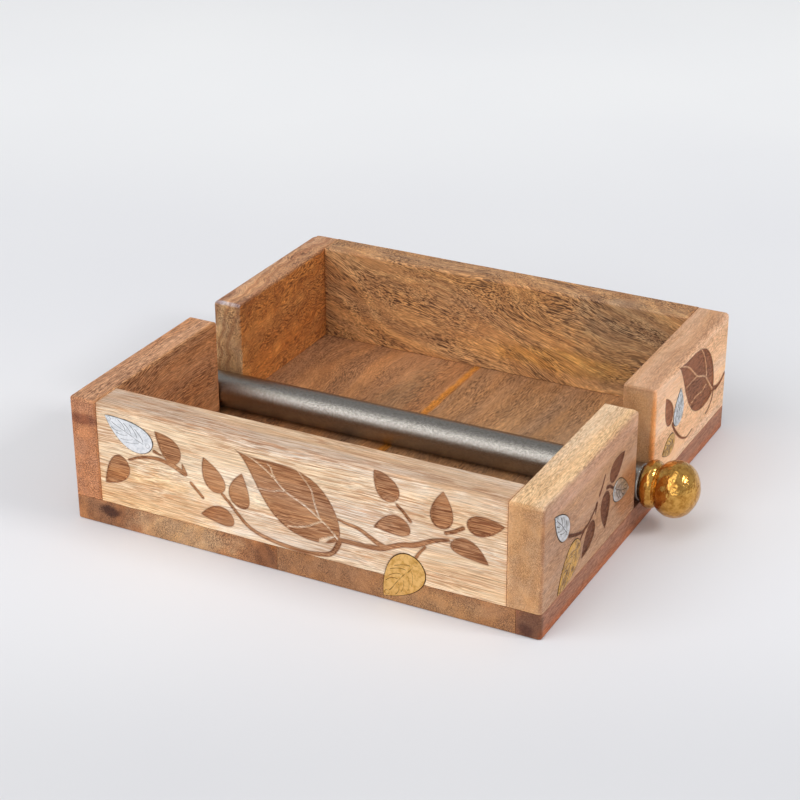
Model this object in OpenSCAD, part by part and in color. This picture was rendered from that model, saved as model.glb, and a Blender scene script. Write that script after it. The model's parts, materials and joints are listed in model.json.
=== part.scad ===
// Flat napkin holder: an open hardwood tray with a loose steel weight bar.
//
// The bar lies across the tray in two open slots and keeps a stack of napkins
// down.  It lifts straight up to let napkins in or out.  Leaf plates of
// aluminium and brass are let into the outside of the walls.
//
// X runs along the front from left to right, Y from front to back and Z up.
// The origin is the middle of the underside.  All sizes are in millimetres.

/* [Tray] */
// Width across the two ends
tray_w = 210; // [206:0.5:216]
// Depth from front to back
tray_d = 202; // [200:0.5:208]
// Height with the base
tray_h = 56; // [55:0.5:62]
// Thickness of the base boards
base_t = 11; // [10:0.25:12.5]
// Thickness of the left end walls
left_end_t = 13; // [11:0.25:15]
// Thickness of the right end walls
right_end_t = 14.5; // [12:0.25:16]
// Thickness of the front wall
front_t = 15.5; // [12:0.25:17]
// Thickness of the back wall
back_t = 14; // [12:0.25:17]
// Width of the widest base board, in the middle
middle_board_w = 103.5; // [100:0.5:106]
// Width of the narrow strip that edges the base on the right
edge_strip_w = 10.5; // [8.5:0.25:11.5]

/* [Bar slots] */
// Width of the slot in the left end
left_slot_w = 19.4; // [19.2:0.1:24]
// How far the left slot lies behind the middle
left_slot_y = 0; // [-0.8:0.1:0.3]
// Width of the slot in the right end
right_slot_w = 18.2; // [17.8:0.1:19.2]
// How far the right slot lies behind the middle
right_slot_y = 1.7; // [1.2:0.1:2.2]

/* [Eased edges] */
// Radius of the top corner of each end wall, beside the slot
slot_top_r = 2; // [1:0.25:6]
// Radius of the top outer edge of the end walls that are worn most
crown_r = 2; // [1:0.25:3]
// Radius of the long top edges and the slot's upright edges
fine_r = 1; // [0.5:0.1:1.5]
// Radius of the tray's outer upright corners
corner_r = 1.5; // [1:0.1:3]
// Radius of the upright corner at the rear left, which is worn round
worn_corner_r = 4.5; // [2:0.5:5]
// Radius of the bottom edge of the base
foot_r = 0.8; // [0.5:0.1:2.5]

/* [Weight bar and knobs] */
// Diameter of the round steel bar
bar_d = 16; // [14:0.5:16]
// Gap between each knob and the tray's end
knob_gap = 0.5; // [0.5:0.1:3]
// Diameter of the collar bead on each knob
bead_d = 20.6; // [18:0.2:22]
// Length of the collar bead
bead_len = 7.2; // [5:0.2:7.6]
// Diameter of the ball on each knob
ball_d = 24; // [22:0.2:26]
// Length of the ball along the bar
ball_len = 20; // [18:0.5:21]
// Distance from the bead's inner face to the ball's centre
ball_reach = 13.6; // [13:0.1:14.5]
// Diameter of the threaded stud inside each knob
stud_d = 6; // [5:0.5:6]
// How far the stud goes into the bar and into the knob
stud_grip = 12; // [8:0.5:14]

/* [Leaf inlays] */
// Thickness of the leaf plates
leaf_t = 1.2; // [0.8:0.1:2]
// How far the plates stand out of the wood
leaf_proud = 0.2; // [0:0.05:0.4]
// Gap between a plate and the edge of its pocket
leaf_gap = 0.25; // [0.1:0.05:0.5]

/* [Panel pins] */
// Diameter of a pin's shank
pin_d = 1.6; // [1.2:0.1:2]
// Diameter of a pin's head
pin_head_d = 2.6; // [2.4:0.1:3.2]
// Length of a pin under its head
pin_len = 25; // [20:1:30]
// How far the heads are punched below the underside
pin_set = 0.6; // [0.2:0.1:1]

/* [Hidden] */

$fn = 64;
cut = 0.01; // overrun that makes a cutting shape pass its surface
well_r = 0.5; // barely eased inner edges of the end walls

side_x = tray_w / 2;
front_y = -tray_d / 2;
back_y = tray_d / 2;
left_joint_x = side_x - edge_strip_w - middle_board_w;
right_joint_x = side_x - edge_strip_w;

// Where each slot starts and ends, from front to back.
left_slot = [left_slot_y - left_slot_w / 2, left_slot_y + left_slot_w / 2];
right_slot = [right_slot_y - right_slot_w / 2, right_slot_y + right_slot_w / 2];

// The bar lies loose against the front side of both slots.  The right slot
// lies farther back, so the bar is a little askew.
bar_r = bar_d / 2;
bar_rest_gap = 0.05; // keeps the bar's underside a hair off the floor
bar_z = base_t + bar_r + bar_rest_gap;
bar_side_gap = 0.3;
bar_slope = (right_slot[0] - left_slot[0]) / (tray_w - right_end_t);
bar_turn = atan(bar_slope);
bar_y = left_slot[0] + bar_side_gap + bar_r / cos(bar_turn) + bar_slope * side_x;
bar_half = side_x + knob_gap;
bar_chamfer = 0.6;
tap_clear = 0.05; // radial play of a stud in its tapped hole
tap_spare = 2; // depth of a tapped hole past the stud's end

// Half the section of a ball: a tight arc round the side, whose centre lies
// off the axis, and a wide arc over each face, with its centre past the middle.
ball_side_r = 0.45 * ball_len;
ball_off = ball_d / 2 - ball_side_r;
ball_face_r = (pow(ball_off, 2) + pow(ball_len / 2, 2) - pow(ball_side_r, 2))
    / (ball_len - 2 * ball_side_r);
ball_face_off = ball_face_r - ball_len / 2;
ball_meet = ball_off * ball_face_r / (ball_face_r - ball_side_r); // where the arcs meet

// A leaf is a list: where its round base sits, where its point reaches, its
// width, and how far its middle bows out to the left of the way it points.
// Distances are along the wall from its left end as seen from outside, and up.
long_silver = [[39.1, 41.3], [17.3, 51.2], 12.2, 1.1];
long_brass = [[158.5, 20.9], [143.7, 2.1], 15.8, 0.2];
end_silver = [[23.6, 34.2], [9.9, 47.7], 9.6, 0];
end_small = [[68.8, 31], [86, 24.2], 9.6, -0.2];
end_brass = [[35.6, 25], [14.9, 11.7], 14, -0.3];
far_silver = [[140.6, 27.8], [142.4, 44.4], 11.8, 0];
far_brass = [[138.2, 22.4], [123.4, 21.2], 9.4, -0.3];

leaf_blunt = 0.5; // power that rounds a leaf's base
leaf_keen = 0.95; // power that draws out its point
leaf_steps = 14; // stretches along each side of a leaf
leaf_widest = leaf_blunt / (leaf_blunt + leaf_keen);

// Half the width of a leaf at the fraction u of its length, against its
// greatest half width.
function leaf_width(u) =
    pow(u / leaf_widest, leaf_blunt)
    * pow((1 - u) / (1 - leaf_widest), leaf_keen);

// How far along the leaf point k lies: close together at both ends.
function leaf_step(k) = (1 - cos(180 * k / leaf_steps)) / 2;

// Sideways place of the leaf's edge: its bowed middle line and half its width.
function leaf_edge(u, half, bow, side) = 4 * bow * u * (1 - u) + side * half * leaf_width(u);

function leaf_outline(length, width, bow) = concat(
    [for (k = [0 : leaf_steps]) let (u = leaf_step(k))
        [u * length, leaf_edge(u, width / 2, bow, 1)]],
    [for (k = [leaf_steps - 1 : -1 : 1]) let (u = leaf_step(k))
        [u * length, leaf_edge(u, width / 2, bow, -1)]]
);

// A leaf's outline on the flat, made smaller or larger all round by grow.
module leaf_shape(leaf, grow = 0) {
    run = leaf[1] - leaf[0];
    turn = atan2(run[1], run[0]);
    translate(leaf[0]) rotate(turn) translate([-grow, 0])
        polygon(leaf_outline(norm(run) + 2 * grow, leaf[2] + 2 * grow, leaf[3]));
}

// Sets flat shapes on the outside of the front wall or of the right end, from
// the depth given inside the surface to the height given outside it.
module on_front(depth, out) {
    translate([-side_x, front_y + depth, 0]) rotate([90, 0, 0])
        linear_extrude(depth + out) children();
}

module on_right(depth, out) {
    translate([side_x - depth, front_y, 0]) rotate([90, 0, 90])
        linear_extrude(depth + out) children();
}

// The back and the left end carry the same leaves, turned half round.
module half_turn() {
    rotate([0, 0, 180]) children();
}

leaf_depth = leaf_t - leaf_proud;

module front_leaf(leaf) {
    on_front(leaf_depth, leaf_proud) leaf_shape(leaf);
}

module front_pocket(leaf) {
    on_front(leaf_depth, 1) leaf_shape(leaf, leaf_gap);
}

module right_leaf(leaf) {
    on_right(leaf_depth, leaf_proud) leaf_shape(leaf);
}

module right_pocket(leaf) {
    on_right(leaf_depth, 1) leaf_shape(leaf, leaf_gap);
}

// The waste that rounds one corner of a rectangle, lying inside the corner.
module corner_waste(r) {
    difference() {
        translate([-cut, -cut]) square(r + cut);
        translate([r, r]) circle(r);
    }
}

// A rectangle from the origin with its four corners rounded one by one:
// near and far along the bottom, then near and far along the top.
module eased_rect(w, h, r) {
    difference() {
        square([w, h]);
        if (r[0] > 0) corner_waste(r[0]);
        if (r[1] > 0) translate([w, 0]) mirror([1, 0]) corner_waste(r[1]);
        if (r[2] > 0) translate([0, h]) mirror([0, 1]) corner_waste(r[2]);
        if (r[3] > 0) translate([w, h]) rotate(180) corner_waste(r[3]);
    }
}

// A board with its length along Y: the side view, the end view and the plan
// are cut through one another, as each long edge is eased on the bench.
module eased_board(size, side, end, plan) {
    intersection() {
        rotate([90, 0, 90]) linear_extrude(size[0]) eased_rect(size[1], size[2], side);
        translate([0, size[1], 0]) rotate([90, 0, 0])
            linear_extrude(size[1]) eased_rect(size[0], size[2], end);
        linear_extrude(size[2]) eased_rect(size[0], size[1], plan);
    }
}

wall_h = tray_h - base_t;
long_wall_w = tray_w - left_end_t - right_end_t;

// Where the pins stand, seen from above: under the front and back walls, and
// two under each half of an end.
pin_line = [-70, 0, 70];
pin_half = [35, 80];
pin_places = concat(
    [for (x = pin_line) [x, front_y + front_t / 2]],
    [for (x = pin_line) [x, back_y - back_t / 2]],
    [for (y = pin_half, way = [-1, 1]) [-side_x + left_end_t / 2, way * y]],
    [for (y = pin_half, way = [-1, 1]) [side_x - right_end_t / 2, way * y]]
);
pin_head_t = 0.6;

module pin(shank, head, below) {
    translate([0, 0, pin_set - below]) cylinder(d = head, h = pin_head_t + below);
    translate([0, 0, pin_set + pin_head_t - cut]) cylinder(d = shank, h = pin_len + cut);
}

module pin_holes() {
    for (place = pin_places) translate(place) pin(pin_d, pin_head_d, pin_set + cut);
}

// One base board, from x0 to x1, its length running front to back.
module base_board(x0, x1, end, plan) {
    difference() {
        translate([x0, front_y, 0])
            eased_board([x1 - x0, tray_d, base_t], [foot_r, foot_r, 0, 0], end, plan);
        pin_holes();
        front_pocket(long_brass);
        half_turn() front_pocket(long_brass);
    }
}

module base_board_left() {
    color("#9a6f4a") base_board(-side_x, left_joint_x,
        [foot_r, 0, 0, 0], [corner_r, 0, worn_corner_r, 0]);
}

module base_board_middle() {
    color("#a5754a") base_board(left_joint_x, right_joint_x, [0, 0, 0, 0], [0, 0, 0, 0]);
}

module base_edge_strip() {
    color("#b46a45") base_board(right_joint_x, side_x,
        [0, foot_r, 0, 0], [0, corner_r, 0, corner_r]);
}

// A long wall between the two ends: its top edges are eased, and its ends
// stay square where they meet the end walls.
module long_wall(thick, rear_r) {
    rotate([90, 0, 90]) linear_extrude(long_wall_w)
        eased_rect(thick, wall_h, [0, 0, fine_r, rear_r]);
}

module front_wall() {
    color("#d8b68a") difference() {
        translate([left_end_t - side_x, front_y, base_t]) long_wall(front_t, fine_r);
        pin_holes();
        front_pocket(long_silver);
        front_pocket(long_brass);
    }
}

module back_wall() {
    color("#a8794d") difference() {
        translate([left_end_t - side_x, back_y - back_t, base_t]) long_wall(back_t, well_r);
        pin_holes();
        half_turn() {
            front_pocket(long_silver);
            front_pocket(long_brass);
        }
    }
}

// Half of an end wall, between y0 and y1, with its outside facing +X.  The
// lists ease its top corners, its top edges and its four upright edges.
module end_wall(thick, y0, y1, side, end, plan) {
    translate([side_x - thick, y0, base_t])
        eased_board([thick, y1 - y0, wall_h], concat([0, 0], side), concat([0, 0], end), plan);
}

module right_front_wall() {
    color("#c99a6c") difference() {
        end_wall(right_end_t, front_y, right_slot[0],
            [fine_r, slot_top_r], [well_r, crown_r], [0, corner_r, well_r, fine_r]);
        pin_holes();
        right_pocket(end_silver);
        right_pocket(end_small);
        right_pocket(end_brass);
    }
}

module right_rear_wall() {
    color("#c4946a") difference() {
        end_wall(right_end_t, right_slot[1], back_y,
            [fine_r, fine_r], [well_r, crown_r], [fine_r, crown_r, 0, corner_r]);
        pin_holes();
        right_pocket(far_silver);
        right_pocket(far_brass);
    }
}

module left_front_wall() {
    color("#a5694a") difference() {
        mirror([1, 0, 0]) end_wall(left_end_t, front_y, left_slot[0],
            [fine_r, slot_top_r], [well_r, fine_r], [0, corner_r, well_r, fine_r]);
        pin_holes();
        half_turn() {
            right_pocket(far_silver);
            right_pocket(far_brass);
        }
    }
}

module left_rear_wall() {
    color("#b27d50") difference() {
        mirror([1, 0, 0]) end_wall(left_end_t, left_slot[1], back_y,
            [slot_top_r, fine_r], [well_r, crown_r], [well_r, well_r, 0, worn_corner_r]);
        pin_holes();
        half_turn() {
            right_pocket(end_silver);
            right_pocket(end_small);
            right_pocket(end_brass);
        }
    }
}

// The same plates serve both long walls and both ends.
module silver_on_front() { color("#c9cdd2") front_leaf(long_silver); }
module brass_on_front() { color("#b7963f") front_leaf(long_brass); }
module silver_on_end() { color("#b4b8bd") right_leaf(end_silver); }
module small_on_end() { color("#b4b8bd") right_leaf(end_small); }
module brass_on_end() { color("#a8904c") right_leaf(end_brass); }
module silver_on_far_end() { color("#c9cdd2") right_leaf(far_silver); }
module brass_on_far_end() { color("#a8904c") right_leaf(far_brass); }

// The bar lies nearly along X, with a tapped hole in each end for a knob's stud.
module along_bar() {
    translate([0, bar_y, bar_z]) rotate([0, 0, bar_turn]) rotate([0, 90, 0]) children();
}

module weight_bar() {
    color("#6b6764") along_bar() difference() {
        rotate_extrude() difference() {
            translate([0, -bar_half]) square([bar_r, 2 * bar_half]);
            for (way = [-1, 1]) translate([bar_r, way * bar_half]) rotate(45)
                square(bar_chamfer * sqrt(2), center = true);
        }
        for (way = [0, 1]) rotate([0, 180 * way, 0])
            translate([0, 0, bar_half - stud_grip - tap_spare])
                cylinder(d = stud_d, h = stud_grip + tap_spare + cut);
    }
}

module ball_section() {
    translate([ball_off, 0]) circle(ball_side_r, $fn = 96);
    intersection() {
        square([2 * ball_meet, ball_len], center = true);
        translate([0, -ball_face_off]) circle(ball_face_r, $fn = 96);
        translate([0, ball_face_off]) circle(ball_face_r, $fn = 96);
    }
}

// A turned knob standing on its bead, with its tapped hole underneath: the
// bead's half-round edge and the ball meet in a narrow groove.
module knob() {
    round_r = bead_len / 2;
    core_r = bead_d / 2 - round_r;
    difference() {
        rotate_extrude() intersection() {
            union() {
                square([core_r, bead_len]);
                translate([core_r, round_r]) circle(round_r);
                translate([0, ball_reach]) ball_section();
            }
            square([ball_d, ball_reach + ball_d]);
        }
        translate([0, 0, -cut]) cylinder(d = stud_d, h = stud_grip + tap_spare + cut);
    }
}

module right_knob() {
    color("#b8862b") along_bar() translate([0, 0, bar_half]) knob();
}

module left_knob() {
    color("#b8862b") along_bar() mirror([0, 0, 1]) translate([0, 0, bar_half]) knob();
}

module stud() {
    translate([0, 0, bar_half - stud_grip])
        cylinder(d = stud_d - 2 * tap_clear, h = 2 * stud_grip);
}

module right_stud() {
    color("#8e9094") along_bar() stud();
}

module left_stud() {
    color("#8e9094") along_bar() mirror([0, 0, 1]) stud();
}

module panel_pins() {
    color("#7d7f82") for (place = pin_places) translate(place) pin(pin_d, pin_head_d, 0);
}

base_board_left();
base_board_middle();
base_edge_strip();
front_wall();
back_wall();
left_front_wall();
left_rear_wall();
right_front_wall();
right_rear_wall();
silver_on_front();  // front_silver_leaf
brass_on_front();  // front_brass_leaf
half_turn() silver_on_front();  // back_silver_leaf
half_turn() brass_on_front();  // back_brass_leaf
silver_on_end();  // right_front_silver_leaf
small_on_end();  // right_front_small_leaf
brass_on_end();  // right_front_brass_leaf
silver_on_far_end();  // right_rear_silver_leaf
brass_on_far_end();  // right_rear_brass_leaf
half_turn() silver_on_end();  // left_rear_silver_leaf
half_turn() small_on_end();  // left_rear_small_leaf
half_turn() brass_on_end();  // left_rear_brass_leaf
half_turn() silver_on_far_end();  // left_front_silver_leaf
half_turn() brass_on_far_end();  // left_front_brass_leaf
weight_bar();
left_knob();
right_knob();
left_stud();
right_stud();
panel_pins();
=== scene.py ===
# %% [markdown]
# # A napkin holder with a weight bar
#
# The object is a shallow open tray of hardwood.  Each end is cut in two by a
# slot, and a round steel bar with a gilded knob on each end lies across the
# tray in those slots, where it keeps a stack of napkins down.  Leaves are cut
# into the outside of the walls, and some of them are filled with plates of
# aluminium and brass.
#
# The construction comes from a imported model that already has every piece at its
# real size.  This script keeps those places and gives each piece its finish.

# %% Load the frame
import json
import math

import bmesh
import bpy
import numpy as np
from mathutils import Matrix, Vector


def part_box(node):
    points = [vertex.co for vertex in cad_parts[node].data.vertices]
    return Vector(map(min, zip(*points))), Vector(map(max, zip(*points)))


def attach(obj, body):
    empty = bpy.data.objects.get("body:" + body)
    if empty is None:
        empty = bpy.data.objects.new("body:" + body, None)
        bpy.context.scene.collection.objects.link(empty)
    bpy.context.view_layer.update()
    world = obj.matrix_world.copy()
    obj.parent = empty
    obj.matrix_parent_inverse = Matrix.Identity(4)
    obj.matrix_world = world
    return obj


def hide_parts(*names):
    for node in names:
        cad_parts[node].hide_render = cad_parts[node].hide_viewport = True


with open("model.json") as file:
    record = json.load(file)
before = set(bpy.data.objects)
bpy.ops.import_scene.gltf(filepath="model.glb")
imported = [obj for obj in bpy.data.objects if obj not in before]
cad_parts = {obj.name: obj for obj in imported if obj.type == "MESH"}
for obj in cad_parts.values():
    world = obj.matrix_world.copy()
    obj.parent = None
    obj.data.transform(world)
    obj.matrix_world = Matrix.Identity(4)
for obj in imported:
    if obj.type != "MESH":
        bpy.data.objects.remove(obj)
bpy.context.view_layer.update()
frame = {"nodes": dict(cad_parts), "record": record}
MM = 0.001


def box_mm(node):
    """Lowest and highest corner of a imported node, in millimetres."""
    low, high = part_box(node)
    return np.array(low) / MM, np.array(high) / MM


TRAY_LOW, _ = box_mm("base_board_left")
_, TRAY_HIGH = box_mm("base_edge_strip")
TRAY_W, TRAY_D, BASE_T = TRAY_HIGH - TRAY_LOW
TRAY_H = box_mm("front_wall")[1][2]
print(f"tray {TRAY_W:.1f} x {TRAY_D:.1f} x {TRAY_H:.1f} mm on a base of {BASE_T:.1f} mm")

# %% [markdown]
# ## The camera
#
# A small thing photographed from nearly a metre away, with a long lens, shows
# little perspective.  The camera stands well to the right of the front and looks
# down by about 26 degrees.  Its matrix is built from three directions: towards
# the camera, to its right and up.

# %% Camera
AIM = Vector((-17.14, 20.5, 21)) * MM
CAMERA_AWAY = 907.6 * MM
LENS = 92.6  # mm, on a sensor 36 mm wide
AROUND, ABOVE, LEAN = 0.4799, 0.4511, -0.0035  # radians
NEAREST_SEEN = 0.01  # m


def direction(around, above):
    """A unit vector away from the object, from two angles in radians: around turns from
    the front to the right, and above rises from the floor."""
    level = math.cos(above)
    return Vector((math.sin(around) * level, -math.cos(around) * level, math.sin(above)))


def add_camera():
    """Right is level, up is at right angles to both, and the lean turns the two a little."""
    back = direction(AROUND, ABOVE)
    level = Vector((math.cos(AROUND), math.sin(AROUND), 0))
    upright = back.cross(level)
    right = math.cos(LEAN) * level + math.sin(LEAN) * upright
    up = math.cos(LEAN) * upright - math.sin(LEAN) * level
    camera = bpy.data.objects.new("camera", bpy.data.cameras.new("camera"))
    camera.data.lens = LENS
    camera.data.clip_start = NEAREST_SEEN
    camera.matrix_world = Matrix((right, up, back)).transposed().to_4x4()
    camera.location = AIM + back * CAMERA_AWAY
    bpy.context.scene.collection.objects.link(camera)
    bpy.context.scene.camera = camera


add_camera()
bpy.context.scene.view_settings.view_transform = "Standard"
print("camera at", [round(x, 3) for x in bpy.context.scene.camera.location])

# %% [markdown]
# ## Small helpers for shader nodes
#
# Every finish is worked out by nodes.  Wiring them by hand takes many lines, so
# `add` makes one node and plugs in its inputs: a socket is linked, and a plain
# value is written on the input itself.  The helpers after it are `add` for the
# nodes that are used most.

# %% Node helpers
def paint(red, green, blue):
    """A colour as read off a screen, 0 to 255, in the linear form that shaders need."""
    screen = np.array([red, green, blue]) / 255
    linear = np.where(screen > 0.04045, ((screen + 0.055) / 1.055) ** 2.4, screen / 12.92)
    return (*linear.tolist(), 1)


def plug(tree, socket, value):
    """Links an output to a socket, or writes a plain value on it."""
    if isinstance(value, bpy.types.NodeSocket):
        tree.links.new(value, socket)
    else:
        socket.default_value = value


def add(tree, kind, inputs, output=0, **settings):
    """Adds a shader node and gives back one of its outputs."""
    node = tree.nodes.new("ShaderNode" + kind)
    for name, value in settings.items():
        setattr(node, name, value)
    for key, value in inputs.items():
        plug(tree, node.inputs[key], value)
    return node.outputs[output]


def calc(tree, operation, *values):
    """One step of arithmetic on numbers."""
    return add(tree, "Math", dict(enumerate(values)), operation=operation)


def times(tree, first, second, plus=None):
    """The product of two numbers, with a third one added where it is given."""
    if plus is None:
        return calc(tree, "MULTIPLY", first, second)
    return calc(tree, "MULTIPLY_ADD", first, second, plus)


def vector_calc(tree, operation, *values):
    """One step on vectors.  A length and a dot product come out as a number."""
    output = "Value" if operation in ("LENGTH", "DOT_PRODUCT") else "Vector"
    return add(tree, "VectorMath", dict(enumerate(values)), output, operation=operation)


def stretch(tree, vector, factors):
    """A vector with each of its three numbers multiplied by a factor of its own."""
    return vector_calc(tree, "MULTIPLY", vector, factors)


def enlarge(tree, vector, amount):
    """A vector, or a colour, with all its numbers multiplied by one amount."""
    return add(tree, "VectorMath", {0: vector, "Scale": amount}, operation="SCALE")


def rise(tree, value, start, end):
    """0 before start and 1 past end, smoothly in between.  End may be the lower one."""
    inputs = {"Value": value, "From Min": start, "From Max": end}
    return add(tree, "MapRange", inputs, interpolation_type="SMOOTHSTEP")


def blend(tree, share, first, second, kind="MIX"):
    """The first colour where the share is 0 and the second where it is 1."""
    inputs = {"Factor": share, 6: first, 7: second}  # 6 and 7 are its two colours
    return add(tree, "Mix", inputs, 2, data_type="RGBA", blend_type=kind)


def tint(tree, share, colour, filter_colour):
    """Multiplies a colour by a filter, as far as the share says."""
    return blend(tree, share, colour, filter_colour, "MULTIPLY")


def noise(tree, place, scale, detail=2.0, roughness=0.5, output="Fac"):
    """Soft random values from 0 to 1 that change about scale times in each unit of place."""
    inputs = {"Vector": place, "Scale": scale, "Detail": detail, "Roughness": roughness}
    return add(tree, "TexNoise", inputs, output)


def attribute(tree, label):
    """The number that a mesh keeps at each of its points under this name."""
    return add(tree, "Attribute", {}, "Fac", attribute_name=label)


print("middle grey in linear form:", round(paint(128, 128, 128)[0], 3))

# %% [markdown]
# ## Groups and materials
#
# An effect that several finishes share is a node group with named inputs, built
# once.  A material places it with values of its own, and one Principled shader
# takes the colour, the roughness and the bumps that come out.

# %% Group and material helpers
SOCKETS = {"value": "NodeSocketFloat", "vector": "NodeSocketVector", "colour": "NodeSocketColor"}


def start_group(name, inputs, outputs):
    """A new node group with named inputs and outputs, each given as name: kind."""
    tree = bpy.data.node_groups.new(name, "ShaderNodeTree")
    for way, sockets in (("INPUT", inputs), ("OUTPUT", outputs)):
        for label, kind in sockets.items():
            tree.interface.new_socket(label, in_out=way, socket_type=SOCKETS[kind])
    into = tree.nodes.new("NodeGroupInput").outputs
    out = tree.nodes.new("NodeGroupOutput").inputs
    return tree, into, out


def use_group(tree, group, inputs):
    """Places a group in a material and gives back all of its outputs."""
    node = tree.nodes.new("ShaderNodeGroup")
    node.node_tree = group
    for key, value in inputs.items():
        plug(tree, node.inputs[key], value)
    return node.outputs


def start_material(name):
    """A new material with one Principled shader: its tree and that shader."""
    material = bpy.data.materials.new(name)
    material.use_nodes = True
    tree = material.node_tree
    tree.nodes.clear()
    shader = tree.nodes.new("ShaderNodeBsdfPrincipled")
    output = tree.nodes.new("ShaderNodeOutputMaterial")
    tree.links.new(shader.outputs[0], output.inputs["Surface"])
    return material, tree, shader


def object_mm(tree):
    """The place on the object in millimetres, in the model's own axes."""
    return stretch(tree, add(tree, "TexCoord", {}, "Object"), (1 / MM, 1 / MM, 1 / MM))


def dress(tree, shader, colour, roughness, height, strength, depth):
    """Gives the shader its colour and roughness, and a height as bumps of a depth in mm."""
    bump = add(tree, "Bump", {"Height": height, "Strength": strength, "Distance": depth * MM})
    for name, value in (("Base Color", colour), ("Roughness", roughness), ("Normal", bump)):
        plug(tree, shader.inputs[name], value)


print("kinds of socket:", sorted(SOCKETS))

# %% [markdown]
# ## Light and floor
#
# The photograph was taken on a white table between soft boxes.  Here a pale sky
# gives the even part of the light, and a wide soft box stands high at the front
# left.  A small one at the right puts the sparkle on the gilding, and weak ones
# lighten the tops and the front.  The camera and mirror-like reflections see the
# sky with a strength of its own, which sets how bright the metals look.

# %% Lamps, sky and floor
SKY_LIGHT, SKY_SEEN = 0.46, 0.5
SKY_COLOUR = (0.96, 0.98, 1.0, 1)
SOFT_BOXES = {
    # name: around and above in degrees, distance and side in metres, power in watts
    "wide_box": (-30, 38, 3.0, 2.6, 48.0),
    "front_box": (24, 24, 3.0, 1.6, 12.0),
    "top_box": (10, 78, 3.0, 1.4, 7.5),
    "right_box": (96, 37, 2.2, 0.5, 14.5),
}
TABLE_HALF = 3  # m
AWAY_FROM_CAMERA = (-0.46, 0.89, 0)
# The floor's tone is painted light and shade: darker towards the camera, brighter round the tray
# and whitest far behind it, for how the studio light falls.
NEAR_SHADE_FADE, FAR_LIGHT_FADE = (-235, -85), (200, 640)  # mm from the middle of the tray
NEAR_SHADE_TONE, TABLE_TONE, FAR_LIGHT_TONE = paint(221, 221, 223), paint(237, 237, 239), paint(255, 255, 255)


def add_soft_box(name, around, above, away, side, watts):
    """A square lamp that faces the middle of the tray."""
    lamp = bpy.data.objects.new(name, bpy.data.lights.new(name, "AREA"))
    lamp.data.size = side
    lamp.data.energy = watts
    towards = direction(math.radians(around), math.radians(above))
    lamp.matrix_world = towards.to_track_quat("Z", "Y").to_matrix().to_4x4()
    lamp.location = towards * away
    bpy.context.scene.collection.objects.link(lamp)


def add_sky():
    """A pale world: SKY_LIGHT for what it lights, SKY_SEEN for the rays that look at it."""
    world = bpy.data.worlds.new("studio")
    bpy.context.scene.world = world
    world.use_nodes = True
    tree = world.node_tree
    tree.nodes.clear()
    camera_ray = add(tree, "LightPath", {}, "Is Camera Ray")
    glossy_ray = add(tree, "LightPath", {}, "Is Glossy Ray")
    seen = calc(tree, "MAXIMUM", camera_ray, glossy_ray)
    strength = add(tree, "Mix", {"Factor": seen, 2: SKY_LIGHT, 3: SKY_SEEN}, data_type="FLOAT")
    sky = add(tree, "Background", {"Color": SKY_COLOUR, "Strength": strength})
    tree.links.new(sky, tree.nodes.new("ShaderNodeOutputWorld").inputs["Surface"])


def add_floor():
    """A table top painted darker towards the camera and whiter towards the back, as painted light
    and shade of the studio, with a faint unevenness.
    """
    material, tree, shader = start_material("white_table")
    place = object_mm(tree)
    backwards = vector_calc(tree, "DOT_PRODUCT", place, AWAY_FROM_CAMERA)
    colour = blend(tree, rise(tree, backwards, *NEAR_SHADE_FADE), NEAR_SHADE_TONE, TABLE_TONE)
    colour = blend(tree, rise(tree, backwards, *FAR_LIGHT_FADE), colour, FAR_LIGHT_TONE)
    uneven = rise(tree, noise(tree, place, 0.004), 0, 1)
    plug(tree, shader.inputs["Base Color"], tint(tree, uneven, colour, paint(249, 249, 251)))
    shader.inputs["Roughness"].default_value = 0.9
    shader.inputs["Specular IOR Level"].default_value = 0.1
    corners = [(x * TABLE_HALF, y * TABLE_HALF, 0) for x, y in ((-1, -1), (1, -1), (1, 1), (-1, 1))]
    mesh = bpy.data.meshes.new("table_top")
    mesh.from_pydata(corners, [], [(0, 1, 2, 3)])
    mesh.materials.append(material)
    table_top = bpy.data.objects.new("table_top", mesh)
    bpy.context.scene.collection.objects.link(table_top)


for box_name, place in SOFT_BOXES.items():
    add_soft_box(box_name, *place)
add_sky()
add_floor()
print(len(SOFT_BOXES), "soft boxes")

# %% [markdown]
# ## Uneven surfaces
#
# A hand-made thing is never quite flat.  Two patterns are enough here: a soft
# one for planed wood and creased metal, and one of small dents for hammered
# metal.  Both are computed for a whole array of points at once, from one block
# of random values that is the same on each run.

# %% Random patterns
BLOCK = 24
RANDOM_BLOCK = np.random.default_rng(11).random((BLOCK, BLOCK, BLOCK))


def smooth(share):
    """Eases a share from 0 to 1: 3t^2 - 2t^3, flat outside that stretch."""
    share = np.clip(share, 0, 1)
    return share * share * (3 - 2 * share)


def soft_noise(points, size):
    """Values from 0 to 1 that vary over about size: the random values at the corners of
    a lattice of cubes, blended inside each cube by the smooth curve along each axis."""
    cube = np.floor(points / size).astype(int)
    share = smooth(points / size - cube)
    total = np.zeros(len(points))
    for corner in np.ndindex(2, 2, 2):
        weight = np.where(np.array(corner) == 1, share, 1 - share).prod(axis=1)
        total += weight * RANDOM_BLOCK[tuple(((cube + corner) % BLOCK).T)]
    return total


def dents(points, size):
    """The distance to the nearest of one random point per cube, as a share of size: near
    0 in the middle of a hammer mark and about 1 on the ridges between marks."""
    cube = np.floor(points / size).astype(int)
    nearest = np.full(len(points), 2.0)
    for step in np.ndindex(3, 3, 3):
        corner = cube + np.array(step) - 1
        key = corner % BLOCK
        middle = [RANDOM_BLOCK[tuple(np.roll(key, turn, axis=1).T)] for turn in range(3)]
        gap = points / size - corner - np.stack(middle, axis=1)
        nearest = np.minimum(nearest, np.linalg.norm(gap, axis=1))
    return nearest


print("soft noise at the origin:", soft_noise(np.zeros((1, 3)), 5).round(3))

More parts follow.
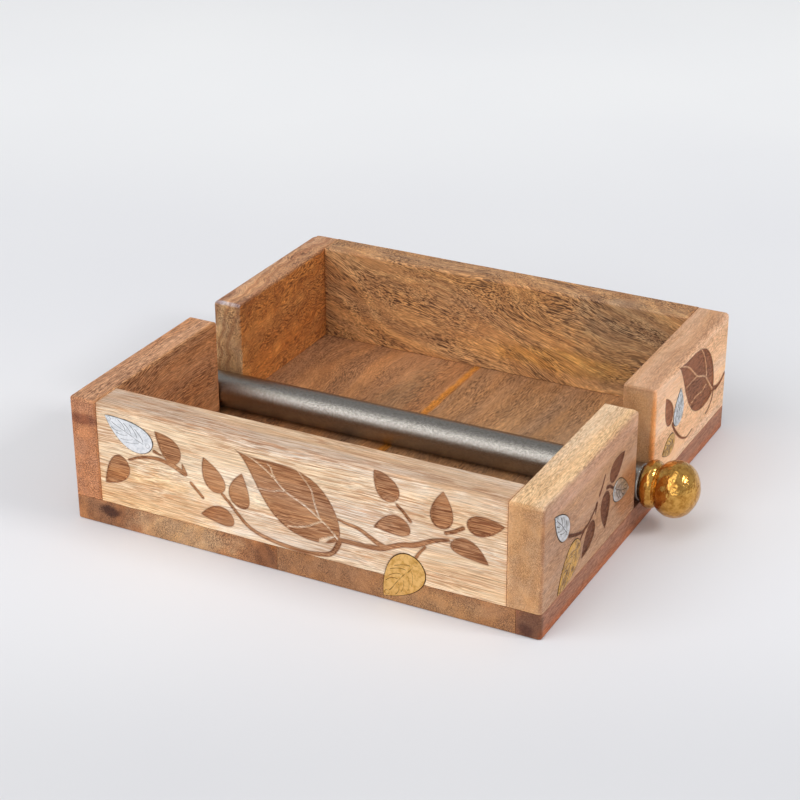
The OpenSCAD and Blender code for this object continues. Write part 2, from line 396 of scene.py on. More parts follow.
# %% [markdown]
# ## The shape of a leaf
#
# One formula draws every leaf.  Its half width at the share u of its length is
# u^blunt (1 - u^hold)^keen: the first part rounds the base, the second draws out
# the point.  The middle line bows to one side by 4 bow u (1 - u).  Places on a
# wall are millimetres along it from its left end, as seen from outside, and up.
# A leaf is its base, its tip, its greatest width and its bow.

# %% Leaf outlines
SMALL_BLADE, LARGE_BLADE = (0.5, 0.95, 1), (0.6, 1.9, 2.2)  # blunt, keen, hold
OUTLINE_STEPS = 22


def blade_width(u, blunt, keen, hold):
    """Half the width at the share u of the length, against the greatest: the formula in
    the text, divided by its value at the widest place, u^hold = blunt / (blunt + keen hold)."""
    widest = (blunt / (blunt + keen * hold)) ** (1 / hold)
    peak = widest**blunt * (1 - widest**hold) ** keen
    return u**blunt * (1 - u**hold) ** keen / peak


def leaf_frame(leaf, grow=0.0):
    """Where the base is, the unit vectors along the leaf and to its left, and its length."""
    base, tip = np.array(leaf[0], float), np.array(leaf[1], float)
    length = np.hypot(*(tip - base))
    along = (tip - base) / length
    left = np.array([-along[1], along[0]])
    return base - along * grow, along, left, length + 2 * grow


def leaf_points(leaf, u, across, blade=SMALL_BLADE, grow=0.0):
    """Flat points of a leaf: u runs from base to tip, across from -1 to 1 over its width."""
    base, along, left, length = leaf_frame(leaf, grow)
    _, _, width, bow = leaf
    half = (width / 2 + grow) * blade_width(u, *blade)
    sideways = 4 * bow * u * (1 - u) + across * half
    return base + np.multiply.outer(u * length, along) + np.multiply.outer(sideways, left)


def leaf_outline(leaf, blade=SMALL_BLADE, grow=0.0):
    """The closed outline, its points close together at both ends."""
    u = (1 - np.cos(np.linspace(0, np.pi, OUTLINE_STEPS + 1))) / 2
    one_side = leaf_points(leaf, u, np.ones(u.size), blade, grow)
    other_side = leaf_points(leaf, u, -np.ones(u.size), blade, grow)
    return np.concatenate([one_side, other_side[-2:0:-1]])


print("points in a leaf's outline:", len(leaf_outline(((0, 0), (10, 0), 4, 0))))

# %% [markdown]
# ## The drawing on the walls
#
# Two drawings serve all four walls: the long one is on the front and, turned
# half round, on the back, and the short one is on the right end and the left.
# A stem is its width at its start and at its end, and the places it runs through.
# Veins are given like stems, but they are lines of wood that the carver left
# standing in the two large leaves.

# %% The two drawings
LONG_SILVER = ((39.1, 41.3), (17.3, 51.2), 12.2, 1.1)
LONG_BRASS = ((158.5, 20.9), (143.7, 2.1), 15.8, 0.2)
END_SILVER = ((23.6, 34.2), (9.9, 47.7), 9.6, 0)
END_SMALL = ((68.8, 31), (86, 24.2), 9.6, -0.2)
END_BRASS = ((35.6, 25), (14.9, 11.7), 14, -0.3)
FAR_SILVER = ((140.6, 27.8), (142.4, 44.4), 11.8, 0)
FAR_BRASS = ((138.2, 22.4), (123.4, 21.2), 9.4, -0.3)

LONG_DRAWING = {
    "plates": [LONG_SILVER, LONG_BRASS],
    "large": [((124, 21.2), (78.4, 49.9), 26.6, -0.6)],
    "small": [
        ((25.5, 33.5), (15.5, 20.3), 10, 1.0),
        ((50.8, 36.9), (40.9, 49.2), 9.3, -1.2),
        ((71.2, 28.8), (63.4, 42.9), 9.2, 0.5),
        ((80.6, 24), (81.1, 39.8), 9.4, 1.5),
        ((76.6, 17), (61.2, 16.9), 8.2, -1.6),
        ((148.6, 44.2), (140, 56.5), 9.6, 0),
        ((155.2, 33.5), (139.5, 31), 8.5, -1.7),
        ((168, 37.5), (169, 53.5), 9.5, 0),
        ((178.9, 41.6), (194.4, 44.8), 8.4, -0.3),
        ((172.3, 32.4), (188, 26.9), 8, 1.6),
    ],
    "stems": [
        (0.9, 2.2, [(27.7, 33.4), (34, 35.9), (40, 36.9), (44, 36.7), (49, 35.5), (54.3, 33.2)]),
        (0.5, 2.2, [(53.3, 37.3), (53.8, 35.6), (54.3, 33.6)]),
        (1.3, 1.2, [(57.1, 29.8), (62.4, 24.6)]),
        (1.5, 0.4, [(40.2, 40), (44.5, 38.7)]),
        (1.2, 2.2, [(71.6, 28.3), (75, 25), (79, 20.7), (83, 17), (88, 14.6), (95, 13),
                    (102, 12.2), (110, 11.9), (116, 12.7), (120, 13.8), (122.5, 16.4),
                    (124.3, 20.2)]),
        (2.0, 2.2, [(124.5, 21.3), (129, 21.5), (134, 21.5), (140, 21.8), (144, 22.7), (148, 24.6),
                    (152, 26.3), (156, 27.2), (160, 28.9)]),
        (2.2, 1.2, [(160, 28.9), (164, 31), (168, 32.5), (171.3, 33.4)]),
        (1.4, 1.6, [(170.2, 36.1), (173.5, 37.6), (177.3, 40)]),
        (1.0, 2.2, [(123.6, 30.4), (127.5, 29.4), (131, 28.9), (134, 28), (137.5, 26.2),
                    (141, 24.3), (144, 23.3)]),
        (1.1, 1.3, [(149.6, 43), (152.3, 40.6), (155.3, 37.3)]),
        (1.3, 0.9, [(157.6, 22.2), (159.2, 24.8), (161.6, 27.8)]),
    ],
    "veins": [
        (0.5, 0.6, [(79.3, 50.2), (84, 48.3), (88, 46.4), (92.8, 43.4), (95.8, 41), (98.8, 38),
                    (102.5, 35.4), (106.1, 33.9), (109.7, 32.1), (112.1, 30.6), (115.7, 28.2),
                    (118.1, 26.5), (121.1, 23.8), (123.4, 21.3)]),
        (0.4, 0.5, [(92.8, 46.7), (94.2, 45.5), (95, 43.1), (96.1, 41.3)]),
        (0.4, 0.5, [(106.2, 47.6), (108.5, 44.6), (110.9, 41.9), (112.4, 39.5), (113, 36.6),
                    (113.9, 33), (115.4, 29.1)]),
        (0.4, 0.5, [(88.3, 35.1), (91.6, 35.1), (95.2, 35.4), (97.3, 36.2), (100, 36.5)]),
        (0.4, 0.5, [(101, 21.3), (104.3, 21.9), (107.9, 22.8), (111.5, 24.3), (113.9, 25.8),
                    (116.9, 27.3)]),
        (0.2, 2.6, [(122.6, 22.2), (119.5, 20.6), (116.5, 18.4)]),
    ],
}
END_DRAWING = {
    "plates": [END_SILVER, END_SMALL, END_BRASS, FAR_SILVER, FAR_BRASS],
    "large": [((185, 25.6), (138.2, 55.8), 27, -0.6)],
    "small": [
        ((49.6, 26.9), (37.7, 16.2), 9.2, 0.3),
        ((60.4, 34.3), (61.3, 17.9), 9.3, 0),
        ((64.6, 37.8), (79.5, 43.6), 9.2, -0.2),
        ((132.7, 32.5), (124.7, 46.8), 8.8, 0),
    ],
    "stems": [
        (1.4, 1.0, [(24.3, 33), (29, 30.9), (34, 29), (38, 28), (43, 28.4), (47, 30.1),
                    (52, 33.2)]),
        (0.6, 2.2, [(50.8, 29.5), (51.2, 31.4), (51.6, 33.2)]),
        (0.9, 1.5, [(35.8, 25.4), (38, 27), (41, 28.4)]),
        (1.6, 0.8, [(54.3, 36.2), (56.8, 38.6), (59.3, 42.3)]),
        (1.6, 1.0, [(61.8, 35.7), (65, 34.7), (68.4, 32.4)]),
        (1.5, 0.5, [(134, 31.5), (137, 27.5), (141, 23.5), (145, 20.3), (149, 18),
                    (154, 16.4), (160, 17.5)]),
        (2.2, 1.3, [(185.5, 26), (190, 24.9), (195, 25.4), (199, 27), (202, 28.6)]),
        (0.6, 1.4, [(177, 17.3), (181, 18.6), (184.6, 21.4), (185.8, 25)]),
    ],
    "veins": [
        (0.5, 0.6, [(140, 55), (144, 53.6), (152, 49.8), (158.5, 44.9), (164, 40.8), (169.5, 38.6),
                    (175, 35.8), (180, 31), (185, 26)]),
        (0.4, 0.5, [(165.7, 53.4), (171, 48), (174, 42.5), (176, 36)]),
        (0.3, 0.4, [(148.6, 41), (158, 41.3), (163, 41)]),
        (0.3, 0.4, [(154.6, 30.1), (164, 31.4), (171, 30.6), (176.5, 31.8)]),
    ],
}
for title, drawing in (("long", LONG_DRAWING), ("end", END_DRAWING)):
    print(title, "drawing:", {kind: len(items) for kind, items in drawing.items()})

# %% [markdown]
# ## Distances to the drawing
#
# The carving has to be crisp, and the mesh of a board has a point only every
# half millimetre.  So each point stores how far it lies from the nearest outline
# and on which side.  Between points that number runs evenly, which puts the edge
# of a leaf exactly where it was drawn.  The same number cuts the recess in the
# mesh, and colours the cut wood in the shader.  A leaf is measured by its closed
# outline, and a stem or a vein by its distance from a line with a changing width.

# %% Distances to outlines and paths
PATH_PIECES = 6


def outline_distance(points, outline):
    """Distance from flat points to a closed outline, less than 0 inside it.  The nearest
    edge gives the distance, and the number of edges crossed by a level ray the side."""
    start, end = outline, np.roll(outline, -1, axis=0)
    run = end - start
    gap = points[:, None] - start
    share = np.clip((gap * run).sum(2) / (run**2).sum(1), 0, 1)
    away = np.linalg.norm(gap - share[..., None] * run, axis=2).min(axis=1)
    spans = (start[:, 1] > points[:, 1, None]) != (end[:, 1] > points[:, 1, None])
    rise_of = np.where(run[:, 1] == 0, 1e-9, run[:, 1])
    crossing = start[:, 0] + gap[..., 1] * run[:, 0] / rise_of
    inside = (spans & (points[:, 0, None] < crossing)).sum(axis=1) % 2 == 1
    return np.where(inside, -away, away)


def smooth_path(places):
    """A smooth line through the places: in each stretch the cubic whose slope at both
    ends is half the step between the neighbours on either side."""
    p = np.array(places, float)
    p = np.concatenate([2 * p[:1] - p[1:2], p, 2 * p[-1:] - p[-2:-1]])
    t = np.linspace(0, 1, PATH_PIECES, endpoint=False)[:, None, None]
    a, b, c, d = p[:-3], p[1:-2], p[2:-1], p[3:]
    curve = b + (c - a) * t / 2 + (2 * a - 5 * b + 4 * c - d) * t**2 / 2
    curve = curve + (3 * b - a - 3 * c + d) * t**3 / 2
    return np.concatenate([curve.transpose(1, 0, 2).reshape(-1, 2), p[-2:-1]])


def path_distance(points, path):
    """The distance to a path, and the share of its pieces before the nearest place."""
    start, run = path[:-1], np.diff(path, axis=0)
    gap = points[:, None] - start
    share = np.clip((gap * run).sum(2) / (run**2).sum(1), 0, 1)
    away = np.linalg.norm(gap - share[..., None] * run, axis=2)
    nearest = away.argmin(axis=1)
    row = np.arange(len(points))
    return away[row, nearest], (nearest + share[row, nearest]) / len(run)


test_line = np.array([(0.0, 0.0), (9.0, 0.0)])
print("a place 3 mm beside a line:", path_distance(np.array([(4.0, 3.0)]), test_line)[0], "mm")

# %% [markdown]
# ## Measuring a whole drawing
#
# A wall has tens of thousands of points, and most of them are far from most of
# the leaves.  So each outline and each line is only measured from the points in
# a box around it, and all the others keep the number FAR_OFF.

# %% Measure the drawing
FAR_OFF = 3.0  # mm: farther than this from any outline nothing is measured
PLATE_GAP = 0.25  # mm between a plate and the wall of its pocket
VEIN_SLOPE = 0.5  # mm over which a standing vein goes down


def close_to(points, shape):
    """Which points lie in the shape's box, made larger by FAR_OFF."""
    low, high = shape.min(axis=0) - FAR_OFF, shape.max(axis=0) + FAR_OFF
    return np.flatnonzero(np.all((points > low) & (points < high), axis=1))


def near_lines(points, lines):
    """For each line: which points are close to it, how far they are, and half its width
    there, which runs evenly from its first width to its last."""
    for first, last, places in lines:
        path = smooth_path(places)
        near = close_to(points, path)
        away, share = path_distance(points[near], path)
        yield near, away, (first + (last - first) * share) / 2


def measure_drawing(points, drawing):
    """Three numbers for flat points: the distance to the nearest cut outline or stem (less
    than 0 in the cut), the share of standing vein, and the distance to the nearest pocket."""
    cut, pocket = (np.full(len(points), FAR_OFF) for _ in range(2))
    vein = np.zeros(len(points))
    shapes = [(cut, leaf_outline(leaf)) for leaf in drawing["small"]]
    shapes += [(cut, leaf_outline(leaf, LARGE_BLADE)) for leaf in drawing["large"]]
    shapes += [(pocket, leaf_outline(leaf, grow=PLATE_GAP)) for leaf in drawing["plates"]]
    for nearest, outline in shapes:
        near = close_to(points, outline)
        nearest[near] = np.minimum(nearest[near], outline_distance(points[near], outline))
    for near, away, half in near_lines(points, drawing["stems"]):
        cut[near] = np.minimum(cut[near], away - half)
    for near, away, half in near_lines(points, drawing["veins"]):
        vein[near] = np.maximum(vein[near], 1 - smooth((away - half) / VEIN_SLOPE + 0.5))
    return cut, vein, pocket


test_cut, _, _ = measure_drawing(np.array([[100.0, 35.0]]), LONG_DRAWING)
print(f"the middle of the large leaf lies {-test_cut[0]:.1f} mm inside its outline")

# %% [markdown]
# ## A board
#
# A board is a box whose edges have been eased with a plane.  Its points are the
# outer points of a lattice: rungs close together near the edges, and even steps
# between them, smaller where the drawing needs it.

# %% Board lattice
RUNGS = 0.12 * np.arange(12) ** 1.42


def stations(low, high, step, finer):
    """Places along one side of a board, in mm: rungs in from both edges, then steps.  In
    a finer stretch, given as start, end and step, the steps are smaller."""
    first, last = low + RUNGS[-1], high - RUNGS[-1]
    ends = [end for stretch in finer for end in stretch[:2] if first < end < last]
    marks = sorted({first, last, *ends})
    parts = [low + RUNGS, high - RUNGS]
    for start, end in zip(marks, marks[1:]):
        middle = (start + end) / 2
        fine = min([step, *(s for a, b, s in finer if a < middle < b)])
        parts.append(np.linspace(start, end, max(2, round((end - start) / fine) + 1)))
    return np.unique(np.concatenate(parts).round(4))


def box_lattice(xs, ys, zs):
    """The points and quads of the six faces of a lattice box.  A point's number in the
    full lattice is i, j and k in one, so faces share the points along their edges."""
    counts = np.array([len(xs), len(ys), len(zs)])
    strides = np.array([counts[1] * counts[2], counts[2], 1])
    quads = []
    for axis in range(3):
        u, v = (axis + 1) % 3, (axis + 2) % 3
        rows, columns = (np.arange(counts[side] - 1) * strides[side] for side in (u, v))
        corners = np.array([0, strides[u], strides[u] + strides[v], strides[v]])
        near = np.add.outer(rows, columns).ravel()[:, None] + corners
        quads += [near[:, ::-1], near + (counts[axis] - 1) * strides[axis]]
    used, faces = np.unique(np.concatenate(quads), return_inverse=True)
    points = np.stack([
        xs[used // strides[0]], ys[used // strides[1] % counts[1]], zs[used % counts[2]]], axis=1)
    return points, faces.reshape(-1, 4)


print("rungs from an edge, in mm:", RUNGS.round(1).tolist())

# %% [markdown]
# ## Planing and easing
#
# A hand plane leaves long soft waves, and then takes the edges off.  They are
# rounded in the side view, the end view and the plan, one after another, as they
# are on the bench.  The points and quads then become a mesh, with numbers of
# their own at each point for the shader.

# %% Planing, easing and the mesh
PLANE_DEPTH, PLANE_REACH = 0.14, 4  # mm
LONG_WAVE, SHORT_WAVE = 26, 6  # mm
NEXT_WAVES = 40  # mm from one axis's waves to the next one's


def ease_edges(points, low, high, side, end, plan):
    """Rounds a box's edges.  Each view lists the radii of its four corners: near and far
    along the low side, then along the high side.  In a corner square of that size a point
    (a, b) from the arc's centre moves to (a, b) max(a, b) / |(a, b)|, which lays the
    square's outline on the arc."""
    for (u, v), radii in (((1, 2), side), ((0, 2), end), ((0, 1), plan)):
        for corner, radius in enumerate(radii):
            out_u, out_v = (corner % 2) * 2 - 1, (corner // 2) * 2 - 1
            centre_u = (high[u] - radius) if out_u > 0 else (low[u] + radius)
            centre_v = (high[v] - radius) if out_v > 0 else (low[v] + radius)
            a, b = (points[:, u] - centre_u) * out_u, (points[:, v] - centre_v) * out_v
            corner_points = (a > 0) & (b > 0)
            pull = np.where(corner_points, np.maximum(a, b) / np.hypot(a, b).clip(1e-9), 1)
            points[corner_points, u] = (centre_u + out_u * a * pull)[corner_points]
            points[corner_points, v] = (centre_v + out_v * b * pull)[corner_points]


def hand_plane(points, low, high):
    """Draws each face in by up to PLANE_DEPTH, in long waves that fade out inside."""
    moved = points.copy()
    for axis in range(3):
        wave = 0.75 * soft_noise(points + NEXT_WAVES * axis, LONG_WAVE)
        wave += 0.25 * soft_noise(points, SHORT_WAVE)
        for edge, inwards in ((low, 1), (high, -1)):
            fade = smooth(1 - abs(points[:, axis] - edge[axis]) / PLANE_REACH)
            moved[:, axis] += inwards * PLANE_DEPTH * fade * wave
    return moved


def mesh_piece(name, points, quads, fields):
    """A smooth-shaded object from points in mm and quads, with one number per point for
    each field, given as name and values."""
    mesh = bpy.data.meshes.new(name)
    mesh.vertices.add(len(points))
    mesh.vertices.foreach_set("co", (points * MM).ravel())
    mesh.loops.add(quads.size)
    mesh.loops.foreach_set("vertex_index", quads.ravel().astype(np.int32))
    mesh.polygons.add(len(quads))
    mesh.polygons.foreach_set("loop_start", np.arange(0, quads.size, 4, dtype=np.int32))
    mesh.polygons.foreach_set("use_smooth", np.ones(len(quads), bool))
    mesh.update(calc_edges=True)
    for label, values in fields:
        layer = mesh.attributes.new(label, "FLOAT", "POINT")
        layer.data.foreach_set("value", np.asarray(values, np.float32))
    piece = bpy.data.objects.new(name, mesh)
    bpy.context.scene.collection.objects.link(piece)
    return piece


test_corner = np.full((1, 3), 10.0)
ease_edges(test_corner, (0, 0, 0), (10, 10, 10), *[(2,) * 4] * 3)
print("the corner of a 10 mm cube, eased by 2 mm:", test_corner.round(2).tolist())

# %% [markdown]
# ## Cutting the drawing into a board
#
# Each wall of the tray is one face: which way it looks, and which way "along"
# runs on it.  On that face the carver's gouge takes the wood down by half a
# millimetre, with a short slope at the outline.  The pockets for the metal plates
# go down deeper than the plates are thick.

# %% Cutting
WALL_FACES = {
    # name: axis it looks along, side, axis that along runs on, its direction, drawing
    "front": (1, -1, 0, 1, LONG_DRAWING),
    "back": (1, 1, 0, -1, LONG_DRAWING),
    "right": (0, 1, 1, 1, END_DRAWING),
    "left": (0, -1, 1, -1, END_DRAWING),
}
CUT_DEPTH, CUT_SLOPE = 0.5, 0.85
POCKET_DEPTH, POCKET_SLOPE = 1.2, 0.5
OVERCUT = 0.1  # the share of a slope that lies outside its outline
HOLE_R, HOLE_SLOPE, HOLE_DEPTH = 1.35, 0.3, 1.3
LONG_WALL_PINS, END_WALL_PINS = (-70, 0, 70), (-80, -35, 35, 80)
SAME_PLACE = 0.01  # mm
HALF = np.array([TRAY_W, TRAY_D]) / 2
FIELD_NAMES = ("cut", "vein", "pocket", "edge", "end")


def no_drawing(count):
    """The numbers of a plain face: far from any cut, no vein, far from any pocket."""
    return [np.full(count, value) for value in (FAR_OFF, 0.0, FAR_OFF)]


def cut_face(points, shaped, face):
    """Moves the points of one face inwards by the depth of the cut there, and gives back
    the three numbers of the drawing for the whole board."""
    axis, side, along, way, drawing = WALL_FACES[face]
    fields = no_drawing(len(points))
    on_face = np.flatnonzero(abs(points[:, axis] - side * HALF[axis]) < SAME_PLACE)
    flat = np.stack([way * points[on_face, along] + HALF[along], points[on_face, 2]], axis=1)
    cut, vein, pocket = measure_drawing(flat, drawing)
    depth = CUT_DEPTH * smooth(OVERCUT - cut / CUT_SLOPE) * (1 - vein)
    depth = np.maximum(depth, POCKET_DEPTH * smooth(OVERCUT - pocket / POCKET_SLOPE))
    shaped[on_face, axis] -= side * depth
    for field, values in zip(fields, (cut, vein, pocket)):
        field[on_face] = values
    return fields


def pin_places():
    """Where panel pins come up through the base: three under each long wall, and two
    under each half of an end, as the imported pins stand."""
    front, back = (sum(box_mm(n))[1] / 2 for n in ("front_wall", "back_wall"))
    left, right = (sum(box_mm(n))[0] / 2 for n in ("left_front_wall", "right_front_wall"))
    places = [(x, y) for x in LONG_WALL_PINS for y in (front, back)]
    return np.array(places + [(x, y) for x in (left, right) for y in END_WALL_PINS])


PINS = pin_places()


def punch_holes(points, shaped, low):
    """Sinks the underside round each pin, so that its head lies in a small hole."""
    under = np.flatnonzero(points[:, 2] < low[2] + SAME_PLACE)
    gaps = np.linalg.norm(points[under, None, :2] - PINS, axis=2).min(axis=1)
    shaped[under, 2] += HOLE_DEPTH * smooth((HOLE_R + HOLE_SLOPE / 2 - gaps) / HOLE_SLOPE)


print(len(PINS), "pin holes in the underside")

# %% [markdown]
# ## The nine boards
#
# Edges that meet another board are hardly eased.  Open edges are rounder, more
# so beside the slots, along the crown of the ends that are used most, and at the
# rear left corner, which is worn round.  Each view lists its four corners as in
# `ease_edges`.

# %% Make the boards
GLUED, MATED, WELL, FINE = 0.12, 0.25, 0.5, 1.0
FOOT, CORNER, CROWN, SLOT_TOP, WORN = 0.8, 1.5, 2.0, 2.0, 4.5
ALL_GLUED, ALL_MATED, BASE_SIDE = (GLUED,) * 4, (MATED,) * 4, (FOOT, FOOT, MATED, MATED)
LONG_STEPS, END_STEPS, BASE_STEPS = (0.6, 2.5, 0.5), (2, 0.45, 0.45), (1.6, 1.6, 0.5)
BRASS, LARGE = (34, 60, 0.5), (-27, 21, 0.42)  # the stretches of the front that these leaves cross
BACK_BRASS, BACK_LARGE = ((-end, -start, step) for start, end, step in (BRASS, LARGE))
PINS_X, PINS_Y = ([(at - 2, at + 2, 0.3) for at in np.unique(PINS[:, i].round(2))] for i in (0, 1))
BOARDS = {
    # node: face, steps, finer stretches along x and y, side view, end view, plan
    "front_wall": ("front", LONG_STEPS, [LARGE], [],
                   (MATED, MATED, FINE, FINE), ALL_MATED, ALL_MATED),
    "back_wall": ("back", LONG_STEPS, [BACK_LARGE], [],
                  (MATED, MATED, FINE, WELL), ALL_MATED, ALL_MATED),
    "left_front_wall": ("left", END_STEPS, [], [],
                        (MATED, MATED, FINE, SLOT_TOP), (MATED, MATED, FINE, WELL),
                        (CORNER, MATED, FINE, MATED)),
    "left_rear_wall": ("left", END_STEPS, [], [],
                       (MATED, MATED, SLOT_TOP, FINE), (MATED, MATED, CROWN, WELL),
                       (MATED, WELL, WORN, MATED)),
    "right_front_wall": ("right", END_STEPS, [], [],
                         (MATED, MATED, FINE, SLOT_TOP), (MATED, MATED, WELL, CROWN),
                         (MATED, CORNER, WELL, FINE)),
    "right_rear_wall": ("right", END_STEPS, [], [],
                        (MATED, MATED, FINE, FINE), (MATED, MATED, WELL, CROWN),
                        (FINE, CROWN, MATED, CORNER)),
    "base_board_left": ("back", BASE_STEPS, [BACK_BRASS, *PINS_X], PINS_Y,
                        BASE_SIDE, (FOOT, GLUED, MATED, GLUED), (CORNER, GLUED, WORN, GLUED)),
    "base_board_middle": ("front", BASE_STEPS, [BRASS, *PINS_X], PINS_Y,
                          BASE_SIDE, ALL_GLUED, ALL_GLUED),
    "base_edge_strip": (None, (1, 1.6, 0.8), PINS_X, PINS_Y,
                        BASE_SIDE, (GLUED, FOOT, GLUED, MATED), (GLUED, CORNER, GLUED, CORNER)),
}
EDGE_REACH, END_REACH = 1.4, 0.9  # mm over which edge wear with painted sheen, and end grain, fade


def grain_axis(node):
    """The front and back walls have their grain along X, and the other boards along Y."""
    return 0 if node in ("front_wall", "back_wall") else 1


def make_board(node):
    """Makes one board: its lattice is planed, eased, carved and punched for the pins.  The
    distances to the drawing and the nearness of edges and ends are kept for its finish."""
    face, steps, finer_x, finer_y, side, end, plan = BOARDS[node]
    low, high = box_mm(node)
    points, quads = box_lattice(*map(stations, low, high, steps, (finer_x, finer_y, [])))
    inset = np.minimum(points - low, high - points)
    to_edge, to_end = np.sort(inset, axis=1)[:, 1], inset[:, grain_axis(node)]
    shaped = hand_plane(points, low, high)
    ease_edges(shaped, low, high, side, end, plan)
    fields = cut_face(points, shaped, face) if face else no_drawing(len(points))
    if node.startswith("base"):
        punch_holes(points, shaped, low)
    fields += [np.exp(-((to_edge / EDGE_REACH) ** 2)), np.exp(-((to_end / END_REACH) ** 2))]
    piece = mesh_piece(node + "_timber", shaped, quads, zip(FIELD_NAMES, fields))
    print(f"{piece.name}: {2 * len(quads)} triangles")
    return piece


boards = {node: make_board(node) for node in BOARDS}

# %% [markdown]
# ## Leaf plates
#
# The metal leaves are sheet, cut with shears, embossed from a die and glued into
# their pockets a hair proud.  Each plate is one closed surface: a loop round its
# section, carried from base to tip.  The loop is wide at the middle of the leaf
# and shrinks to nothing at both ends, where its points are merged.

# %% Plate surfaces
PLATE_PROUD, PLATE_DEPTH = 0.2, 1.0
PLATE_STATIONS, PLATE_COLUMNS, PLATE_UNDER = 96, 54, 6
VEIN_WIDE, VEIN_DEEP = 0.28, 0.13
TACK_R, TACK_HIGH, TACK_INSETS = 0.95, 0.09, (1.9, 2.2)
ROLLED, END_ROLL = 6, 18  # how sharply the sides and the two ends are rolled down
DENTS, FOLDS = (0.09, 2.6), (0.06, 1.3)  # height and size in mm
WIDE_LEAF = 11  # mm: a wider leaf has one more pair of side veins
ONE_SPOT = 2e-6  # m: points closer than this become one


def plate_veins(leaf, pairs):
    """The veins of a plate as flat paths: a midrib that stops short of both ends, and pairs
    of short side veins that leave it in turn and bend towards the tip."""
    u = np.linspace(0.16, 0.84, 14)
    paths = [leaf_points(leaf, u, 0.05 * np.sin(9 * u))]
    share = np.linspace(0, 1, 7)
    for number in range(pairs):
        start = 0.18 + 0.5 * number / pairs
        reach = 0.56 + 0.1 * (number % 2)
        for way in (-1, 1):
            u = start + (0.06 if way > 0 else 0) + (0.24 - 0.08 * start) * share**1.2
            paths.append(leaf_points(leaf, u, way * (0.12 + reach * share**0.85)))
    return paths


def closed_grid(name, grid, fields=()):
    """A grid of points (rows, columns, 3) in mm whose columns join up, as one piece.  Its
    end rows have shrunk to points or lie face to face, so doubles are merged there."""
    rows, columns = grid.shape[:2]
    corner = np.arange((rows - 1) * columns).reshape(rows - 1, columns)
    beside = np.roll(corner, -1, axis=1)
    quads = np.stack([corner, beside, beside + columns, corner + columns], axis=-1).reshape(-1, 4)
    piece = mesh_piece(name, grid.reshape(-1, 3), quads, fields)
    shell = bmesh.new()
    shell.from_mesh(piece.data)
    bmesh.ops.remove_doubles(shell, verts=shell.verts, dist=ONE_SPOT)
    bmesh.ops.dissolve_degenerate(shell, edges=shell.edges, dist=ONE_SPOT / 20)
    bmesh.ops.recalc_face_normals(shell, faces=shell.faces)
    shell.to_mesh(piece.data)
    shell.free()
    return piece


def lift_off_face(flat, out, face):
    """Turns flat places on a wall, and heights out of it, into points of the tray."""
    axis, side, along, way, _ = WALL_FACES[face]
    points = np.zeros((*out.shape, 3))
    points[..., along] = way * (flat[..., 0] - HALF[along])
    points[..., 2] = flat[..., 1]
    points[..., axis] = side * (HALF[axis] + out)
    return points


def make_plate(node, face, leaf):
    """A plate's section loop: across the top from 1 to -1 and back underneath.  The top has
    a rolled edge, pressed veins, soft dents and the round head of a tack near each end."""
    width, length = leaf[2], leaf_frame(leaf)[3]
    u = (1 - np.cos(np.linspace(0, np.pi, PLATE_STATIONS))) / 2
    top = np.sin(np.linspace(np.pi / 2, -np.pi / 2, PLATE_COLUMNS))
    across = np.concatenate([top, np.linspace(-1, 1, PLATE_UNDER)])
    flat = leaf_points(leaf, u[:, None] + 0 * across, 0 * u[:, None] + across)
    edge = (1 - abs(across) ** ROLLED) * smooth(np.minimum(u, 1 - u) * END_ROLL)[:, None]
    places = flat.reshape(-1, 2)
    vein = np.full(len(places), FAR_OFF)
    for path in plate_veins(leaf, pairs=4 if width > WIDE_LEAF else 3):
        vein = np.minimum(vein, path_distance(places, path)[0])
    ends = np.array([TACK_INSETS[0], length - TACK_INSETS[1]]) / length
    tacks = leaf_points(leaf, ends, np.zeros(2))
    from_tack = np.linalg.norm(places[:, None] - tacks, axis=2).min(axis=1)
    vein = np.minimum(vein, abs(from_tack - TACK_R) * 1.6).reshape(edge.shape)
    dome = TACK_HIGH * (1 - (from_tack / TACK_R) ** 2).clip(0).reshape(edge.shape)
    own_layer = np.full(len(places), 7.0 * width)  # no two sizes of leaf are dented alike
    spots = np.column_stack([places, own_layer])
    crumple = DENTS[0] * (dents(spots, DENTS[1]) - 0.5)
    crumple += FOLDS[0] * (soft_noise(spots, FOLDS[1]) - 0.5)
    relief = dome - VEIN_DEEP * np.exp(-((vein / VEIN_WIDE) ** 2)) + crumple.reshape(edge.shape)
    out = np.minimum(PLATE_PROUD, PLATE_PROUD * edge * 0.75 + relief * edge)
    out = np.where(np.arange(across.size) < PLATE_COLUMNS, out, -PLATE_DEPTH)
    rim = (1 - abs(across)) * width / 2 * blade_width(u, *SMALL_BLADE)[:, None]
    fields = [("vein", vein.ravel()), ("rim", rim.ravel())]
    return closed_grid(node + "_plate", lift_off_face(flat, out, face), fields)


PLATES = {
    "front_silver_leaf": ("front", LONG_SILVER),
    "front_brass_leaf": ("front", LONG_BRASS),
    "back_silver_leaf": ("back", LONG_SILVER),
    "back_brass_leaf": ("back", LONG_BRASS),
    "right_front_silver_leaf": ("right", END_SILVER),
    "right_front_small_leaf": ("right", END_SMALL),
    "right_front_brass_leaf": ("right", END_BRASS),
    "right_rear_silver_leaf": ("right", FAR_SILVER),
    "right_rear_brass_leaf": ("right", FAR_BRASS),
    "left_rear_silver_leaf": ("left", END_SILVER),
    "left_rear_small_leaf": ("left", END_SMALL),
    "left_rear_brass_leaf": ("left", END_BRASS),
    "left_front_silver_leaf": ("left", FAR_SILVER),
    "left_front_brass_leaf": ("left", FAR_BRASS),
}
plates = {node: make_plate(node, *place) for node, place in PLATES.items()}
print(len(plates), "plates of", len(plates["front_silver_leaf"].data.polygons), "faces each")

